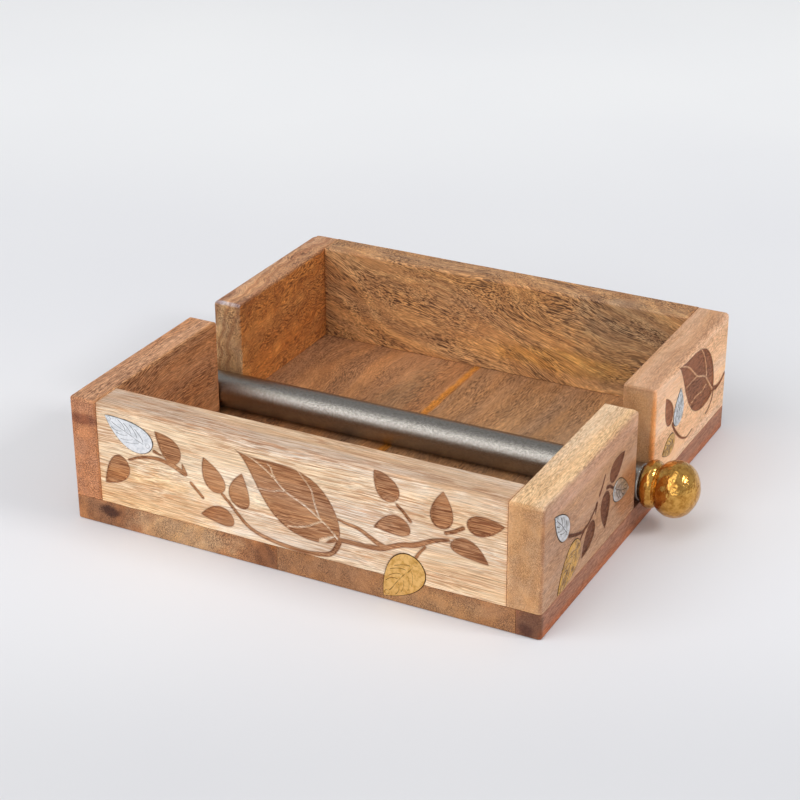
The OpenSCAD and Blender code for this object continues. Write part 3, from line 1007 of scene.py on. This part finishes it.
# %% [markdown]
# ## The bar and its knobs
#
# Both are turned on a lathe: half a section, drawn as radius against distance
# along the axis, is carried round the axis.  The axis lies a little askew in the
# tray, because the right slot lies farther back than the left.  The bar has a
# tapped hole in each end for a stud.  The knob is a collar with a half-round edge
# and a flattened ball, and its gold leaf lies over a surface that was left lumpy.

# %% Turned pieces
BAR_LOW, BAR_HIGH = box_mm("weight_bar")
BAR_MIDDLE = (BAR_LOW + BAR_HIGH) / 2
BAR_R = (BAR_HIGH[2] - BAR_LOW[2]) / 2
BAR_HALF = TRAY_W / 2 + 0.5
LEFT_END, RIGHT_END = box_mm("left_front_wall"), box_mm("right_front_wall")
BAR_SLOPE = (RIGHT_END[1][1] - LEFT_END[1][1]) / (RIGHT_END[0][0] - LEFT_END[0][0])
ALONG_BAR = np.array([1, BAR_SLOPE, 0]) / math.hypot(1, BAR_SLOPE)
BESIDE_BAR = np.array([-ALONG_BAR[1], ALONG_BAR[0], 0])
STUD_HOLE_R, STUD_HOLE_DEEP = 3.0, 14.0
BAR_CHAMFER = 0.6
BAR_STEPS, BAR_AROUND, KNOB_AROUND = 290, 96, 280
GOLD_DENTS, GOLD_WRINKLES, STEEL_GRAIN = (0.06, 1.3), (0.14, 0.85), (0.02, 0.8)  # depth, size
DENT_REACH = 1.3  # in sizes, from the middle of a dent


def turn(name, profile, start, way, around, lumps):
    """Carries a profile of (distance, radius) rows round the bar's axis.  Distances run from
    start in the direction way.  Lumps lower each point along the profile's own normal,
    except in the stud's hole."""
    distance, radius = profile.T
    tangent = np.gradient(profile, axis=0)
    tangent /= np.linalg.norm(tangent, axis=1)[:, None].clip(1e-9)
    angle = np.linspace(0, 2 * np.pi, around, endpoint=False)
    ring = np.outer(np.cos(angle), BESIDE_BAR) + np.outer(np.sin(angle), (0, 0, 1))

    def carried(along, outwards):
        """Along times the axis, plus outwards times each direction of the ring."""
        return along[:, None, None] * way * ALONG_BAR + outwards[:, None, None] * ring

    grid = BAR_MIDDLE + start * ALONG_BAR + carried(distance, radius)
    normal = carried(-tangent[:, 1], tangent[:, 0])
    depth = lumps(grid.reshape(-1, 3)).reshape(grid.shape[:2])
    depth = depth * (radius > STUD_HOLE_R + 0.5)[:, None]
    return closed_grid(name, grid - normal * depth[..., None])


def bar_profile():
    """From the bottom of one tapped hole over the bar's whole length to the other."""
    half = BAR_HALF
    body = np.linspace(BAR_CHAMFER - half, half - BAR_CHAMFER, BAR_STEPS)
    ends = np.array([(half - STUD_HOLE_DEEP, 0), (half - STUD_HOLE_DEEP, STUD_HOLE_R),
                     (half, STUD_HOLE_R), (half, BAR_R - BAR_CHAMFER)])
    middle = np.stack([body, np.full(body.size, BAR_R)], axis=1)
    return np.concatenate([ends * (-1, 1), middle, ends[::-1]])


def arc(centre, radius, first, last, steps):
    """Rows of (distance, radius) on an arc: centre + radius (cos a, sin a), a in degrees."""
    swing = np.radians(np.linspace(first, last, steps))
    return np.array(centre) + radius * np.stack([np.cos(swing), np.sin(swing)], axis=1)


def knob_profile():
    """The stud's hole and the collar's inner face, then three arcs: the collar's half-round
    edge, the tight side of the ball from where the two meet, and the ball's wide face."""
    deep, wide = STUD_HOLE_DEEP, STUD_HOLE_R
    hole = np.array([(deep, 0), (deep, wide), (0, wide), (0, 5)])
    # each arc: its centre, its radius, its first and last angle, and its number of points
    collar = arc((3.6, 6.7), 3.6, 180, 33.2, 34)
    side = arc((13.6, 3), 9, 140.9, 36.87, 84)
    face = arc((9.6, 0), 14, 36.87, 0, 42)[1:]
    face[-1, 1] = 0  # the pole lies exactly on the axis
    return np.concatenate([hole, collar, side, face])


def gilded_lumps(points):
    """Depth of the lumps under gold leaf, in mm: shallow dents and finer wrinkles."""
    (dent_depth, dent_size), (wrinkle_depth, wrinkle_size) = GOLD_DENTS, GOLD_WRINKLES
    dented = dent_depth * (DENT_REACH - dents(points, dent_size)).clip(0)
    return dented + wrinkle_depth * soft_noise(points, wrinkle_size)


def grainy_skin(points):
    """Depth of the grain in the bar's skin, in mm."""
    return STEEL_GRAIN[0] * soft_noise(points, STEEL_GRAIN[1])


bar = turn("weight_bar_steel", bar_profile(), 0, 1, BAR_AROUND, grainy_skin)
knobs = {
    f"{side}_knob": turn(f"{side}_knob_gilded", knob_profile(), way * BAR_HALF, way,
                         KNOB_AROUND, gilded_lumps)
    for side, way in (("right", 1), ("left", -1))
}
print(f"bar radius {BAR_R:.2f} mm, askew by {math.degrees(BAR_SLOPE):.2f} degrees;",
      len(knobs["right_knob"].data.polygons), "faces in a knob")

# %% [markdown]
# ## Timber
#
# Wood is a bundle of tubes laid down in rings.  The group below works in
# millimetres with the grain along X.  Rings are bands of distance from the pith
# line.  Streaks are noise stretched far along the grain.  Flecks are the open
# pores, short dark dashes.  All three follow the same slow wandering of the
# fibres, so they bend together, and on an end they turn into arcs and dots.

# %% Timber group
WARM_BAND, COOL_BAND = paint(259, 253, 242), paint(252, 255, 263)


def timber_group():
    """Bends the place across the grain by a slow and a quick noise.  Rings and streaks
    then lead from pale to tan, flecks to dark, and fibres and clouds change the tone."""
    tree, into, out = start_group("timber", {
        "Place": "vector", "Pale": "colour", "Tan": "colour", "Dark": "colour",
        "Wander": "value", "Ripple": "value", "Ring Width": "value", "Rings": "value",
        "Streak Grain": "vector", "Streaks": "value", "Fleck Grain": "vector", "Flecks": "value",
        "Fibres": "value",
    }, {"Color": "colour", "Height": "value"})
    across = (0, 1, 1)
    bent = into["Place"]
    for name, squeeze, scale in (("Wander", 0.5, 0.028), ("Ripple", 0.6, 0.13)):
        wave = noise(tree, stretch(tree, into["Place"], (squeeze, 1, 1)), scale, 1, output="Color")
        sideways = stretch(tree, vector_calc(tree, "SUBTRACT", wave, (0.5, 0.5, 0.5)), across)
        bent = vector_calc(tree, "ADD", bent, enlarge(tree, sideways, into[name]))
    from_pith = vector_calc(tree, "LENGTH", stretch(tree, bent, across))
    ring_place = calc(tree, "DIVIDE", from_pith, into["Ring Width"])
    ring = add(tree, "TexNoise", {"W": ring_place, "Scale": 1, "Detail": 3, "Roughness": 0.6},
               noise_dimensions="1D")
    ring = rise(tree, ring, 0.36, 0.64)
    streak = noise(tree, stretch(tree, bent, into["Streak Grain"]), 1, 5, 0.62)
    streak = rise(tree, streak, 0.38, 0.62)
    pores = stretch(tree, bent, into["Fleck Grain"])
    coarse, fine = (rise(tree, noise(tree, pores, size, 1, 0.4), 0.48, 0.6) for size in (1, 2.1))
    crowd = rise(tree, noise(tree, stretch(tree, bent, (0.02, 0.11, 0.11)), 1), 0.3, 0.62)
    fleck = calc(tree, "MAXIMUM", coarse, times(tree, fine, 0.6))
    fleck = times(tree, fleck, times(tree, crowd, 0.7, 0.3))
    fibre = noise(tree, stretch(tree, pores, (0.7, 1.3, 1.3)), 1, 4, 0.7)
    fibre = times(tree, calc(tree, "SUBTRACT", fibre, 0.5), into["Fibres"], 1)
    cloud = times(tree, noise(tree, into["Place"], 0.035), 0.36, 0.82)
    band = rise(tree, noise(tree, stretch(tree, bent, (0.008, 0.1, 0.1)), 1), 0.36, 0.64)
    shade = blend(tree, times(tree, ring, into["Rings"]), into["Pale"], into["Tan"])
    shade = blend(tree, times(tree, streak, into["Streaks"]), shade, into["Tan"])
    shade = tint(tree, 1, shade, blend(tree, band, WARM_BAND, COOL_BAND))
    shade = blend(tree, times(tree, fleck, into["Flecks"]), shade, into["Dark"])
    plug(tree, out["Color"], enlarge(tree, shade, times(tree, cloud, fibre)))
    plug(tree, out["Height"], times(tree, fleck, -0.6, times(tree, streak, -0.25)))
    return tree


TIMBER = timber_group()
print(len(TIMBER.nodes), "nodes in the timber group")

# %% [markdown]
# ## Stains and tool marks
#
# Real boards have places of their own: a dark knot, an amber heart streak, a
# patch that the plane left pale.  The stain group multiplies the colour by a
# tint inside a ragged ellipsoid.  The tool-mark group then colours what the
# carver did: cut wood is darker.  It also paints shade along the cut's outline
# and in the gaps round the metal plates, and lightens the edges for wear and
# painted sheen.

# %% Stain and tool-mark groups
# The first colour is painted shade along the cut's outline, the second the colour of torn pores,
# the third painted shade in the gaps round the plates.
OUTLINE_SHADE, TORN, GAP_SHADE = paint(150, 120, 100), paint(150, 132, 120), paint(84, 66, 52)


def stain_group():
    """The distance from the middle, in reaches, is made ragged by noise.  The tint is full
    where it is under 0.45 and gone past 1.15."""
    tree, into, out = start_group("stain", {
        "Color": "colour", "Place": "vector", "Middle": "vector", "Reach": "vector",
        "Tint": "colour", "Ragged": "value",
    }, {"Color": "colour"})
    offset = vector_calc(tree, "SUBTRACT", into["Place"], into["Middle"])
    away = vector_calc(tree, "LENGTH", vector_calc(tree, "DIVIDE", offset, into["Reach"]))
    fringe = calc(tree, "SUBTRACT", noise(tree, into["Place"], 0.16, 3, 0.6), 0.5)
    inside = rise(tree, times(tree, fringe, into["Ragged"], away), 1.15, 0.45)
    plug(tree, out["Color"], tint(tree, inside, into["Color"], into["Tint"]))
    return tree


def tool_mark_group():
    """Tints the ends and lightens the edges for wear and painted sheen, then tints the cut wood and
    its torn pores, paints shade along its outline and paints the gaps round the plates dark as
    shade.  Cut, pocket: mm from an outline, under 0 inside."""
    tree, into, out = start_group("tool_marks", {
        "Color": "colour", "Height": "value", "Place": "vector", "Cut": "value", "Vein": "value",
        "Pocket": "value", "Edge": "value", "End": "value", "Cut Tint": "colour",
        "End Tint": "colour", "Edge Tint": "colour",
    }, {"Color": "colour", "Height": "value", "Roughness": "value"})
    shade = tint(tree, into["End"], into["Color"], into["End Tint"])
    # Edges are lightened partly for wear and partly as painted sheen where the light catches them.
    rubbed = rise(tree, noise(tree, into["Place"], 0.09, 3), 0.35, 0.65)
    shade = tint(tree, times(tree, into["Edge"], rubbed), shade, into["Edge Tint"])
    between_veins = calc(tree, "SUBTRACT", 1, into["Vein"])
    cut = times(tree, rise(tree, into["Cut"], 0.14, -0.14), between_veins)
    shade = tint(tree, cut, shade, into["Cut Tint"])
    torn = times(tree, cut, times(tree, into["Height"], -0.9, -0.1))
    shade = tint(tree, torn, shade, TORN)
    # A thin darker line along the outline of the cut: painted shade at its edge.
    line = times(tree, rise(tree, calc(tree, "ABSOLUTE", into["Cut"]), 0.5, 0.1), 0.45)
    shade = tint(tree, times(tree, line, between_veins), shade, OUTLINE_SHADE)
    # The gap round each plate is painted dark: painted shade between the plate and the wood.
    shade = blend(tree, rise(tree, into["Pocket"], 0.12, -0.1), shade, GAP_SHADE)
    plug(tree, out["Color"], shade)
    plug(tree, out["Height"], times(tree, cut, -0.5, into["Height"]))
    plug(tree, out["Roughness"], times(tree, cut, 0.12, times(tree, into["Height"], -0.18, 0.5)))
    return tree


STAIN, TOOL_MARKS = stain_group(), tool_mark_group()
print(len(STAIN.nodes), "nodes in the stain group,", len(TOOL_MARKS.nodes), "in the tool marks")

# %% [markdown]
# ## The boards' planks
#
# Every board came off a different plank, so each has its own recipe: three
# colours, how much the fibres wander, how strong its rings, streaks and flecks
# are, where the pith lay, and its stains.  What most planks share stands first.

# %% Board recipes
LEVEL = (0, 0, 0)
WHOLE = 1000  # mm: a reach past every edge
USUAL = {
    # rings: their width in mm and strength; streaks and flecks: how many to a mm along
    # and across the grain, and their strength; turn: radians round X, Y and Z
    "wander": 8, "ripple": 0.8, "rings": (6.0, 0.5), "streaks": (0.07, 1.2, 0.5),
    "flecks": (0.3, 2.6, 0.85), "fibres": 2.0, "turn": LEVEL, "cut": (175, 140, 115),
}
RIGHT_END_WOOD = {
    "rings": (6.0, 0.45), "streaks": (0.07, 1.1, 0.5), "flecks": (0.36, 2.6, 0.6),
    "fibres": 1.3, "cut": (164, 130, 112),
}
RECIPES = {
    # colours: pale, tan and dark; top: the tint of the top edge, partly its own grain and
    # dust and partly painted sheen; stains: middle, reach and tint, which lightens where it is
    # above 255
    "front_wall": {
        "colours": ((254, 240, 219), (226, 194, 158), (188, 138, 98)), "top": (227, 215, 206),
        "wander": 5, "ripple": 0.5, "rings": (5.0, 0.55), "pith": (0, 160, -52),
        "streaks": (0.07, 1.3, 0.6), "flecks": (0.08, 2.3, 0.8), "fibres": 2.1,
        "cut": (200, 162, 132),
        "stains": [((-75, -101, 18), (50, 6, 14), (255, 240, 216)),
                   ((50, -101, 47), (7, 6, 4), (262, 262, 262)),
                   ((75, -101, 30), (40, 6, 40), (250, 240, 226))],
    },
    "back_wall": {
        "colours": ((250, 193, 128), (180, 125, 79), (100, 68, 46)), "top": (240, 238, 246),
        "wander": 26, "ripple": 1.2, "rings": (4.0, 0.6), "pith": (0, -60, -18),
        "streaks": (0.08, 1.1, 0.55), "flecks": (0.17, 2.5, 1.0), "turn": (0, -0.35, 0),
        "stains": [((-15, 87, 35), (26, 9, 12), (255, 256, 264)),
                   ((35, 87, 22), (45, 9, 7), (262, 258, 225)),
                   ((66, 87, 40), (36, 9, 34), (222, 234, 254))],
    },
    "left_front_wall": {
        "colours": ((236, 174, 129), (188, 124, 84), (110, 67, 45)), "top": (266, 274, 274),
        "wander": 12, "ripple": 1.5, "pith": (0, 40, -10), "turn": (0.1, 0, 0),
        "streaks": (0.06, 1.0, 0.5), "flecks": (0.2, 2.4, 0.85), "fibres": 2.2,
        "stains": [((-99, -101, 47), (9, 8, 3), (190, 170, 165)),
                   ((-92, -50, 30), (1.5, WHOLE, WHOLE), (240, 233, 215))],
    },
    "left_rear_wall": {
        "colours": ((233, 158, 85), (182, 107, 52), (110, 62, 31)), "top": (250, 286, 385),
        "wander": 16, "ripple": 7.0, "rings": (3.4, 0.85), "pith": (0, -14, -30),
        "streaks": (0.1, 0.9, 0.35), "flecks": (0.22, 2.4, 0.9), "fibres": 2.2,
        "turn": (0, 0.12, 0),
        "stains": [((-99, 9.5, 34), (12, 1.8, WHOLE), (257, 322, 435))],
    },
    "right_front_wall": {
        **RIGHT_END_WOOD, "pith": (0, -40, -60), "top": (266, 277, 286),
        "colours": ((244, 203, 158), (217, 166, 118), (147, 100, 62)),
        "stains": [((104, -16, 24), (10, 16, 13), (240, 215, 185)),
                   ((106, -50, 30), (2.5, WHOLE, WHOLE), (216, 207, 213)),
                   ((105, -45, 51), (3, 60, 5), (275, 275, 285)),
                   ((98, -101, 30), (9, 1.5, WHOLE), (226, 223, 216))],
    },
    "right_rear_wall": {
        **RIGHT_END_WOOD, "pith": (0, -40, 30), "top": (240, 236, 238),
        "colours": ((238, 193, 150), (213, 160, 117), (148, 99, 64)),
        "stains": [((104.5, 11, 34), (1.6, 3, 26), (258, 225, 178)),
                   ((106, 55, 30), (2.5, WHOLE, WHOLE), (286, 292, 302)),
                   ((98, 10.8, 34), (9, 1.5, WHOLE), (222, 226, 222))],
    },
    "base_board_left": {
        "colours": ((202, 146, 99), (167, 114, 74), (104, 70, 48)), "wander": 22,
        "ripple": 1.0, "rings": (5.0, 0.6), "pith": (0, -40, 10), "turn": (0.06, 0, 0),
        "stains": [((-88, -101, 7), (7, 6, 3), (140, 120, 115)),
                   ((-52, -101, 5), (28, 5, 9), (292, 334, 366)),
                   ((-88, -101, 5), (14, 5, 9), (226, 226, 232)),
                   ((-14, -101, 6), (6, 5, 9), (205, 195, 190)),
                   ((-29, 25, 11), (10, 60, 4), (226, 238, 252)),
                   ((-11, 0, 10.5), (2.4, 140, 3), (296, 270, 172))],
    },
    "base_board_middle": {
        "colours": ((196, 147, 103), (166, 119, 79), (101, 70, 49)), "pith": (0, 70, -40),
        "stains": [((60, -101, 4), (30, 5, 6), (272, 282, 282)),
                   ((45, 40, 11), (34, 60, 4), (272, 282, 294))],
    },
    "base_edge_strip": {
        "colours": ((184, 126, 93), (160, 100, 71), (106, 63, 46)), "pith": (0, -120, 20),
        "wander": 6, "ripple": 1.0, "rings": (5.0, 0.5), "flecks": (0.28, 1.9, 0.5),
        "fibres": 1.6,
        "stains": [((100, -101, 5), (9, 3, 12), (184, 190, 190)),
                   ((99, -101, 3), (4, 3, 3), (190, 170, 165)),
                   ((106, 0, 0), (3, WHOLE, 5), (268, 238, 205))],
    },
}
stain_count = sum(len(recipe["stains"]) for recipe in RECIPES.values())
print(len(RECIPES), "recipes with", stain_count, "stains")

# %% [markdown]
# ## Finishing the boards
#
# The timber group has its grain along X, so for a board with its grain along Y
# the pattern is turned a quarter first.  The stains follow one after another, and
# the marks of the tools come last, from the numbers that the mesh keeps.

# %% Board finishes
# The edge tint lightens worn edges and also paints sheen on them; the end tint darkens end grain.
EDGE_WEAR_AND_SHEEN_TINT, END_TINT = paint(262, 258, 252), paint(250, 240, 232)
RAGGED = 1.1
TOP_REACH = 1.6  # mm
WOOD_BUMP = (0.5, 0.25)  # strength, and depth in mm


def board_finish(node):
    """The material of one board, from its recipe."""
    recipe = {**USUAL, **RECIPES[node]}
    material, tree, shader = start_material(node + "_finish")
    place = object_mm(tree)
    quarter = (0, 0, -math.pi / 2) if grain_axis(node) == 1 else LEVEL
    grain = add(tree, "Mapping", {"Vector": place, "Rotation": quarter})
    grain = add(tree, "Mapping", {
        "Vector": grain, "Rotation": recipe["turn"], "Location": recipe["pith"]})
    values = dict(zip(("Pale", "Tan", "Dark"), (paint(*colour) for colour in recipe["colours"])))
    for kind in ("streaks", "flecks"):
        along, across, strength = recipe[kind]
        values[kind[:-1].capitalize() + " Grain"] = (along, across, across)
        values[kind.capitalize()] = strength
    timber = use_group(tree, TIMBER, {
        "Place": grain, "Wander": recipe["wander"], "Ripple": recipe["ripple"],
        "Ring Width": recipe["rings"][0], "Rings": recipe["rings"][1],
        "Fibres": recipe["fibres"], **values})
    colour = timber["Color"]
    stains = list(recipe["stains"])
    # The top edge's tint is partly its own grain and dust, and partly painted sheen from the light
    # along the top.
    if "top" in recipe:
        stains.append(((0, 0, TRAY_H), (WHOLE, WHOLE, TOP_REACH), recipe["top"]))
    for middle, reach, stain_tint in stains:
        colour = use_group(tree, STAIN, {
            "Color": colour, "Place": place, "Middle": middle, "Reach": reach,
            "Tint": paint(*stain_tint), "Ragged": RAGGED})["Color"]
    worked = use_group(tree, TOOL_MARKS, {
        "Color": colour, "Height": timber["Height"], "Place": place,
        "Cut Tint": paint(*recipe["cut"]), "End Tint": END_TINT, "Edge Tint": EDGE_WEAR_AND_SHEEN_TINT,
        **{name.capitalize(): attribute(tree, name) for name in FIELD_NAMES}})
    dress(tree, shader, worked["Color"], worked["Roughness"], worked["Height"], *WOOD_BUMP)
    shader.inputs["Specular IOR Level"].default_value = 0.35
    return material


for node, piece in boards.items():
    piece.data.materials.append(board_finish(node))
print(len(boards), "boards finished")

# %% [markdown]
# ## Metals
#
# All the metal here has been worked by hand: the leaves are embossed and rubbed,
# and those on the two ends are painted darker and duller, as painted shade for the
# darker reflections there.  The knobs are gilded over lumpy turning, and the bar
# has a dull grainy skin.  One group gives the small dents and the tarnish, and
# each metal uses it with its own size and depth.

# %% Worked-metal group
def worked_metal_group():
    """Round dents of a size in mm, with finer creases on them.  Tarnish leads from bright
    to dull, and dirt to soiled, and both make the metal rougher."""
    tree, into, out = start_group("worked_metal", {
        "Place": "vector", "Bright": "colour", "Dull": "colour", "Soiled": "colour",
        "Size": "value", "Creases": "value", "Dirt": "value",
    }, {"Color": "colour", "Height": "value", "Roughness": "value"})
    place = into["Place"]
    scale = calc(tree, "DIVIDE", 1, into["Size"])
    cells = add(tree, "TexVoronoi", {"Vector": place, "Scale": scale}, feature="SMOOTH_F1")
    fine = noise(tree, place, times(tree, scale, 1.7), 4, 0.65)
    tarnish = rise(tree, noise(tree, place, times(tree, scale, 0.5), 4, 0.7), 0.4, 0.66)
    shade = blend(tree, tarnish, into["Bright"], into["Dull"])
    plug(tree, out["Color"], blend(tree, into["Dirt"], shade, into["Soiled"]))
    plug(tree, out["Height"], times(tree, fine, into["Creases"], cells))
    worn = calc(tree, "MAXIMUM", times(tree, tarnish, 0.3), into["Dirt"])
    plug(tree, out["Roughness"], times(tree, worn, 0.2))
    return tree


WORKED_METAL = worked_metal_group()
print(len(WORKED_METAL.nodes), "nodes in the worked-metal group")

# %% [markdown]
# ## The metals of this object
#
# The leaves are aluminium or brass, with dirt left in their veins and along their
# rims.  Those on the long walls are only rubbed, and those on the ends use darker,
# duller copies of the same metals, which are painted shade for their darker
# reflections.  The last recipe, plain zinc-plated steel, is for the studs and pins
# that are hidden inside.

# %% Metal finishes
METALS = {
    # name: bright, dull and soiled colours, dent size in mm, creases, depth in mm, roughness
    "rubbed_aluminium": ((252, 253, 255), (222, 225, 228), (150, 152, 154), 1.2, 0.6, 0.1, 0.36),
    "rubbed_brass": ((246, 200, 126), (214, 164, 88), (134, 98, 50), 1.2, 0.6, 0.1, 0.3),
    # The next two rows are darker, duller copies of the two above, for the leaves on the ends:
    # painted shade for the darker reflections there.
    "shaded_end_aluminium": ((232, 234, 237), (176, 177, 176), (84, 80, 76), 1.6, 0.7, 0.25, 0.34),
    "shaded_end_brass": ((240, 186, 88), (156, 112, 50), (84, 62, 30), 1.6, 0.7, 0.25, 0.16),
    "antique_gilding": ((220, 168, 88), (182, 128, 58), (126, 84, 34), 1.1, 0.7, 0.07, 0.15),
    "dull_steel_skin": ((153, 148, 142), (136, 131, 124), (90, 80, 72), 0.5, 1.4, 0.1, 0.19),
    "zinc_plated_steel": ((190, 190, 188), (150, 150, 148), (120, 120, 118), 0.8, 0.5, 0.02, 0.3),
}
LEAF_DIRT = {"vein": 0.24, "rim": 0.16}  # mm from a pressed vein or the rim
METAL_BUMP = 0.8


def metal_finish(name, bright, dull, soiled, size, creases, depth, rough):
    """The material of one metal.  Dirt is full near the veins and the rim of a leaf, where
    the number kept in the mesh is under 0.3 of its reach, and gone past the reach."""
    material, tree, shader = start_material(name)
    dirt = 0.0
    if name.endswith(("aluminium", "brass")):
        for label, reach in LEAF_DIRT.items():
            near = rise(tree, attribute(tree, label), reach, reach * 0.3)
            dirt = calc(tree, "MAXIMUM", dirt, near)
    metal = use_group(tree, WORKED_METAL, {
        "Place": object_mm(tree), "Bright": paint(*bright), "Dull": paint(*dull),
        "Soiled": paint(*soiled), "Size": size, "Creases": creases, "Dirt": dirt})
    roughness = calc(tree, "ADD", metal["Roughness"], rough)
    dress(tree, shader, metal["Color"], roughness, metal["Height"], METAL_BUMP, depth)
    shader.inputs["Metallic"].default_value = 1.0
    return material


metals = {name: metal_finish(name, *recipe) for name, recipe in METALS.items()}
for node, piece in plates.items():
    # Leaves on the ends take the darker copies of their metal, as painted shade.
    work = "rubbed" if node.startswith(("front", "back")) else "shaded_end"
    metal = "brass" if "brass" in node else "aluminium"
    piece.data.materials.append(metals[f"{work}_{metal}"])
for piece in knobs.values():
    piece.data.materials.append(metals["antique_gilding"])
bar.data.materials.append(metals["dull_steel_skin"])
for node in ("left_stud", "right_stud", "panel_pins"):
    hidden = frame["nodes"][node]
    hidden.data.materials.clear()
    hidden.data.materials.append(metals["zinc_plated_steel"])
print("metals:", sorted(metals))

# %% [markdown]
# ## Joining the pieces to the frame
#
# Every piece rides on the body of the node that it stands for, so the bar with
# its knobs lifts out of the tray and the rest stays.  The slot of the record that
# its finish belongs to is looked up, but not kept.

# %% Ride and replace
SLOTS = {
    "front_wall": "front_board", "back_wall": "back_board",
    "left_front_wall": "left_end_boards", "left_rear_wall": "left_end_boards",
    "right_front_wall": "right_end_boards", "right_rear_wall": "right_end_boards",
    "base_board_left": "base_boards", "base_board_middle": "base_boards",
    "base_edge_strip": "edge_strip", "weight_bar": "weight_bar",
    "left_knob": "gilded_knob", "right_knob": "gilded_knob",
}
pieces = {**boards, **plates, **knobs, "weight_bar": bar}
moving = set(frame["record"]["behaviour"]["bodies"]["bar"])
for node, piece in pieces.items():
    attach(piece, "bar" if node in moving else "tray")
    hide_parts(node)
    leaf_slot = "brass_leaf" if "brass" in node else "aluminium_leaf"
    SLOTS.get(node, leaf_slot)
